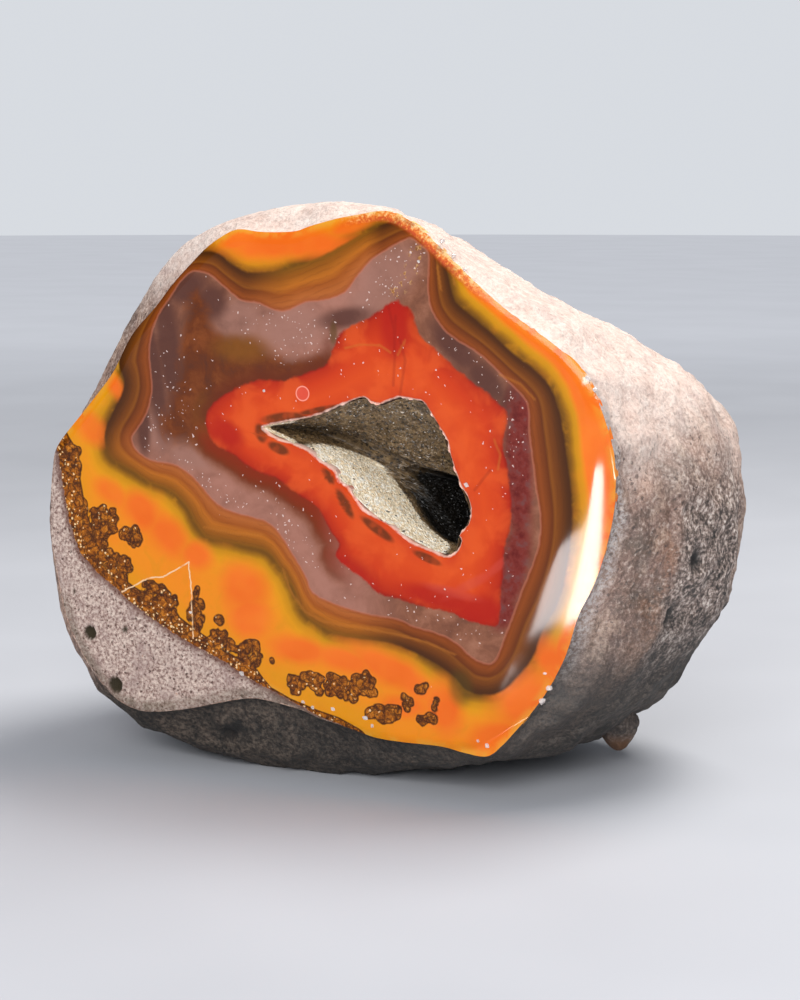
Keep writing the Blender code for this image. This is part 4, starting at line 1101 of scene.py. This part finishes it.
def body_radius(angle, depth):
    """The stone's radius behind the face, without its lumps, for one ring of directions."""
    rows = np.array(BODY_SECTIONS)
    place = (angle % 360.0) / (360.0 / rows.shape[1])
    i = place.astype(int)
    four = [rows[:, (i + k) % rows.shape[1]] for k in (-1, 0, 1, 2)]
    radii = through(*four, place - i)
    last = len(rows) - 1
    radii = np.vstack([radii, radii[-1] * closing(SECTION_GAP * (last + 1))])
    spot = np.minimum(depth / SECTION_GAP, last)
    row = np.minimum(spot.astype(int), last - 1)
    columns = np.arange(len(angle))
    four = [radii[np.maximum(row + k, 0), columns] for k in (-1, 0, 1, 2)]
    return through(*four, spot - row) * closing(depth)


def skin_relief(points, angle, depth):
    """Height of lumps, knobs, ridges, the ledge and the chips, and of the fine grain over them."""
    lumps = 0.6 * roughly(points, 13.0)
    knobs = 0.55 * roughly(points, 5.2, (9.0, 4.0, 2.0))
    crest = 0.35 - 1.6 * np.abs(roughly(points, 9.0, (1.0, 7.0, 4.0)))
    side = signed(angle)
    rough = 0.3 + 0.7 * ease(1.4 - np.abs(signed(angle + 35.0)) / 120.0)
    ledge = -0.6 * rise(side, -24.0, 6.0) * fall(side, 16.0, 6.0)
    ledge = ledge * rise(depth, 1.5, 2.0) * fall(depth, 11.3, 1.6)
    in_chip = rise(side, -128.0, 8.0) * fall(side, -62.0, 8.0)
    flakes = -np.abs(roughly(points, 7.0, (3.0, 8.0, 5.0)))
    chips = 0.9 * flakes * in_chip * fall(depth, 9.0, 4.0)
    worn = lumps + (knobs + crest) * rough
    coarse = 0.3 * roughly(points, 2.3, (2.0, 5.0, 1.0)) * rough ** 2
    grain = (0.1 + 0.1 * rough ** 2) * roughly(points, 0.95, (6.0, 3.0, 9.0))
    fine = coarse + grain
    return worn * ease(depth / 3.0) + ledge + chips * ease(depth / 1.5) + fine * ease(depth / 1.2)


def sink_pits(points):
    """Push points that lie in a pit on to its bottom, and say how deep each one went."""
    sunk = np.zeros(len(points))
    for x, y, z, rx, ry, rz in PITS:
        size = np.array([rx, ry, rz])
        place = (points - np.array([x, y, z])) / size
        inside = np.sum(place ** 2, 1) < 1.0
        inwards = np.stack([CENTRE[0] - points[:, 0], 0.0 * sunk, CENTRE[1] - points[:, 2]], 1)
        inwards /= np.linalg.norm(inwards, axis=1)[:, None] + 1e-9
        go = inwards / size
        a, b, c = np.sum(go * go, 1), np.sum(go * place, 1), np.sum(place ** 2, 1) - 1.0
        travel = (-b + np.sqrt(np.maximum(b * b - a * c, 0.0))) / a
        travel = np.where(inside, 0.85 * travel, 0.0)
        points = points + inwards * travel[:, None]
        sunk = np.maximum(sunk, np.where(inside, ease(travel / 0.8), 0.0))
    return points, sunk


def placed(angle, radius, y):
    """A ring round the stone's middle, with its points at the angles."""
    turn = np.radians(angle)
    ring = [CENTRE[0] + radius * np.cos(turn), y + 0.0 * turn, CENTRE[1] + radius * np.sin(turn)]
    return np.stack(ring, 1)


def hidden_rings(angle, edge, drop):
    """Out of sight: the walls behind the crystals, and the bed that the polished plate lies on."""
    rim = placed(angle, edge, FACE_Y)
    bearing = np.degrees(np.arctan2(rim[:, 2] - PLATE_MIDDLE[1], rim[:, 0] - PLATE_MIDDLE[0]))
    away = pocket_loop(0.0, WALL_STEPS) - np.array(PLATE_MIDDLE)
    wall_bearing = np.degrees(np.arctan2(away[:, 1], away[:, 0])) % 360.0
    order = np.argsort(wall_bearing)
    wall_bearing, count = wall_bearing[order], len(order)
    steps = np.unwrap(order, period=count)
    spot = np.interp(bearing % 360.0,
                     np.concatenate([wall_bearing - 360.0, wall_bearing, wall_bearing + 360.0]),
                     np.concatenate([steps + count, steps, steps - count]))
    i = np.floor(spot).astype(int)
    part = (spot - i)[:, None]
    hidden = []
    for depth in np.linspace(POCKET_END_DEPTH, 1.2, WALL_RINGS):
        loop = pocket_loop(depth, WALL_STEPS)
        at = loop[i % count] * (1.0 - part) + loop[(i + 1) % count] * part
        hidden.append(np.stack([at[:, 0], np.full(len(at), FACE_Y + depth), at[:, 1]], 1))
    return hidden + [placed(angle, edge - rim_width(angle) - 0.6, FACE_Y + 0.8),
                     placed(angle, edge - 0.9, FACE_Y + np.maximum(drop, 0.3) + 0.55),
                     placed(angle, edge - 0.05, FACE_Y + drop + 0.03)]


def skin_depths():
    """How far behind the face each ring of skin lies, closest together in front."""
    fine = np.linspace(0.85, STONE_FINE_DEPTH, STONE_FINE_RINGS)
    back = np.sin(np.linspace(0.0, 0.985 * math.pi / 2.0, STONE_BACK_RINGS + 1)[1:])
    back = STONE_FINE_DEPTH + back * (NODULE_DEPTH - STONE_FINE_DEPTH)
    return np.concatenate([[0.0, 0.12, 0.3, 0.55], fine, back])


def skin_ring(angle, edge, drop, depth):
    """One ring of skin: from the edge of the face it widens into the body."""
    behind = depth + drop * fall(depth, 14.0, 14.0)
    to_body = ease(depth / 4.5)
    radius = edge * (1.0 - to_body) + body_radius(angle, behind) * to_body
    height = skin_relief(placed(angle, radius, FACE_Y + behind), angle, depth) * closing(depth)
    return placed(angle, radius + height, FACE_Y + np.minimum(behind, NODULE_DEPTH - 0.3))


def skin_marks(shape, side, depth, sunk):
    """Where the skin is rough, rusty, chipped or pitted, paler on top partly as painted light, and
    darker as painted shade under it, low down and in its pits.
    """
    x, z = shape[:, :, 0], shape[:, :, 2]
    points = shape.reshape(-1, 3)
    wave = 6.0 * roughly(points, 13.0, (4.0, 1.0, 8.0)) + 2.5 * roughly(points, 4.0)
    wave = wave.reshape(depth.shape)
    rough = rise(side, -62.0, 14.0) * fall(side, 12.0, 12.0)
    rough = rough * rise(depth + 0.3 * wave, 9.0, 4.0) * fall(depth, 34.0, 8.0)
    behind = rise(depth, 26.0, 8.0) * fall(z + 1.5 * wave, 40.0, 14.0)
    under = fall(side, -38.0, 22.0) * rise(side, -150.0, 12.0)
    rust = rise(side, -45.0, 10.0) * fall(side, 8.0, 12.0) * fall(depth, 12.5, 2.0)
    hole_x, hole_z, wide, high = CHIP_HOLE
    hole = fall(np.hypot((x - hole_x) / wide, (z - hole_z) / high), 1.1, 0.2)
    return {
        # Paler towards the top: the pale rind, partly painted light from above
        "pale": rise(z + wave + 0.25 * (x - 10.0), 44.0, 16.0),
        "rough": np.maximum(rough, 0.6 * behind),
        # Painted shade, partly: darker on the chipped underside, which faces down
        "under": under * np.maximum(fall(depth, 14.0, 5.0), fall(z - 0.5 * wave, 9.0, 6.0)),
        "rust": rust * (0.35 + 0.65 * rise(depth, 6.5, 3.0)),
        "crest": rise(side, -40.0, 10.0) * fall(side, 32.0, 12.0) * fall(depth, 2.6, 1.6),
        # Painted shade: darker towards the bottom of the flank, partly the darker stone
        "low": fall(z + 0.4 * wave, 27.0, 15.0) * rise(side, -100.0, 20.0) * fall(side, 2.0, 18.0),
        # Painted shade: near black in the pits and in the chipped band's hole
        "pit": np.maximum(sunk, hole * fall(depth, 6.0, 1.0)),
        "nub": np.zeros(depth.shape),
    }


def make_stone(material):
    angle = 360.0 * np.arange(STONE_COLUMNS) / STONE_COLUMNS
    edge = face_radius(angle)
    rim = placed(angle, edge, FACE_Y)
    drop = face_depth(rim[:, 0], rim[:, 2])
    hidden = np.array(hidden_rings(angle, edge, drop))
    depths = skin_depths()
    shape = np.array([skin_ring(angle, edge, drop, depth) for depth in depths])
    points, sunk = sink_pits(shape.reshape(-1, 3))
    shape = points.reshape(shape.shape)
    shape[:, :, 2] = np.maximum(shape[:, :, 2], 0.0)

    depth = np.repeat(depths[:, None], STONE_COLUMNS, 1)
    side = np.broadcast_to(signed(angle), depth.shape)
    marks = skin_marks(shape, side, depth, sunk.reshape(depth.shape))
    blank = np.zeros(hidden.shape[:2])
    marks = {name: np.concatenate([blank, values]) for name, values in marks.items()}
    mesh = wrapped("weathered_stone", np.concatenate([hidden, shape]), marks)
    mesh.shade_smooth()
    mesh.set_sharp_from_angle(angle=math.radians(60.0))
    piece = shown("weathered_stone", mesh, material)
    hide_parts("agate_nodule")
    return piece


def make_nub(material):
    """The drip-shaped nub under the right flank."""
    top, tip = np.array(NUB_TOP), np.array(NUB_TIP)
    bm = bmesh.new()
    bmesh.ops.create_icosphere(bm, subdivisions=5, radius=1.0)
    for vert in bm.verts:
        down = min(1.0, max(0.0, 0.5 - 0.5 * vert.co.z))
        middle = top + (tip - top) * down
        rough = 1.0 + 0.1 * noise.noise(vert.co * 2.2) + 0.04 * noise.noise(vert.co * 7.0)
        width = NUB_RADIUS * (1.0 - 0.45 * down) * rough
        vert.co = Vector((middle[0] + vert.co.x * width, middle[1] + vert.co.y * width,
                          middle[2])) * MM
    bmesh.ops.recalc_face_normals(bm, faces=bm.faces)
    mesh = bpy.data.meshes.new("stone_nub")
    bm.to_mesh(mesh)
    bm.free()
    mesh.shade_smooth()
    low = fall(places_of(mesh)[:, 2], 5.0, 2.0)
    # Painted shade: the nub's upper part, under the stone, is darkened, and all of it half as much as
    # the underside
    add_marks(mesh, {"nub": 0.9 * low, "under": np.full(len(low), 0.5),
                     "rough": np.full(len(low), 0.3), "low": 0.8 - 0.8 * low})
    piece = shown("stone_nub", mesh, material)
    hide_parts("agate_nodule")
    return piece


def make_glints(material):
    """Clear chips of quartz, half sunk in the face along its edges."""
    chance = np.random.default_rng(SEED + 2)
    bm = bmesh.new()
    for x, z, size in GLINTS:
        ball = bmesh.ops.create_icosphere(bm, subdivisions=1, radius=1.0)
        y = FACE_Y + float(face_depth(np.array([x]), np.array([z]))[0]) + 0.35 * size
        for vert in ball["verts"]:
            shake = Vector(chance.uniform(0.6, 1.15, 3))
            vert.co = (vert.co * shake * size + Vector((x, y, z))) * MM
    bmesh.ops.recalc_face_normals(bm, faces=bm.faces)
    mesh = bpy.data.meshes.new("quartz_glints")
    bm.to_mesh(mesh)
    bm.free()
    piece = shown("quartz_glints", mesh, material)
    return piece


# The stage, the light and the camera

def make_stage():
    bm = bmesh.new()
    bmesh.ops.create_circle(bm, cap_ends=True, segments=64, radius=2.5)
    mesh = bpy.data.meshes.new("floor")
    bm.to_mesh(mesh)
    bm.free()
    material, shader, bench = new_material("pale matt floor", 0.7)
    tone = bench.cloud(bench.here(), 60.0, 2.0)
    bench.feed(shader.inputs["Base Color"],
               bench.ramp(tone, (0.3, 190, 192, 198), (0.7, 198, 200, 206)))
    shader.inputs["Specular IOR Level"].default_value = 0.0
    # Painted light: the floor glows more the further it lies, fading into the pale backdrop
    shader.inputs["Emission Color"].default_value = paint(214, 216, 222)
    far = bench.node("ShaderNodeVectorMath", {0: bench.here()}, out=1, operation='LENGTH')
    bench.feed(shader.inputs["Emission Strength"], bench.span(far, 180.0, 900.0, 0.0, 0.5))
    floor = shown("floor", mesh, material)


def area_light(name, at, towards, power, size, colour=(1.0, 1.0, 1.0), gloss_only=False):
    light = bpy.data.lights.new(name, 'AREA')
    light.shape, light.energy, light.color = 'RECTANGLE', power, colour
    light.size, light.size_y = (side * MM for side in size)
    lamp = bpy.data.objects.new(name, light)
    bpy.context.collection.objects.link(lamp)
    lamp.location = Vector(at) * MM
    aim = Vector(at) - Vector(towards)
    lamp.rotation_euler = aim.to_track_quat('Z', 'Y').to_euler()
    lamp.visible_camera = False
    lamp.visible_diffuse = not gloss_only


def make_light():
    world = bpy.data.worlds.new("soft room")
    bpy.context.scene.world = world
    world.use_nodes = True
    bench = Bench(world.node_tree)
    sky = world.node_tree.nodes["Background"].inputs
    sky["Color"].default_value = paint(226, 230, 236)
    ray = bench.node("ShaderNodeLightPath", {}).node.outputs
    strength = bench.math('MULTIPLY_ADD', ray["Is Camera Ray"], 0.4, 0.5)
    bench.feed(sky["Strength"], bench.math('MULTIPLY_ADD', ray["Is Glossy Ray"], -0.34, strength))
    area_light("key", (120.0, 130.0, 420.0), (0.0, 0.0, 40.0), 1.75, (260.0, 200.0),
               (1.0, 0.97, 0.93))
    area_light("front", (150.0, -620.0, 330.0), (0.0, 0.0, 36.0), 3.1, (420.0, 320.0))
    area_light("rim_streak", (51.5, -57.8, 16.5), (35.0, -20.0, 36.0), 0.048, (11.0, 30.0),
               gloss_only=True)
    area_light("rim_veil", (38.9, -68.5, 6.5), (30.0, -21.0, 30.0), 0.021, (18.0, 15.0),
               (1.0, 0.96, 0.96), gloss_only=True)


def make_camera():
    camera = bpy.data.cameras.new("camera")
    camera.lens, camera.sensor_width = LENS, SENSOR
    camera.clip_start, camera.clip_end = 0.01, 20.0
    stand = bpy.data.objects.new("camera", camera)
    bpy.context.collection.objects.link(stand)
    back = Vector((math.sin(AZIMUTH) * math.cos(ELEVATION),
                   -math.cos(AZIMUTH) * math.cos(ELEVATION), math.sin(ELEVATION)))
    stand.location = (Vector(LOOK_AT) + back * LOOK_FROM) * MM
    stand.rotation_euler = back.to_track_quat('Z', 'Y').to_euler()
    bpy.context.scene.camera = stand
    bpy.context.scene.view_settings.view_transform = 'Standard'


def main():
    make_camera()
    make_light()
    make_stage()
    skin = weathered_skin()
    for piece in (make_cut_face(polished_agate()), make_stone(skin), make_nub(skin),
                  make_druse(sugary_quartz()), make_glints(glassy_quartz())):
        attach(piece, "root")


main()
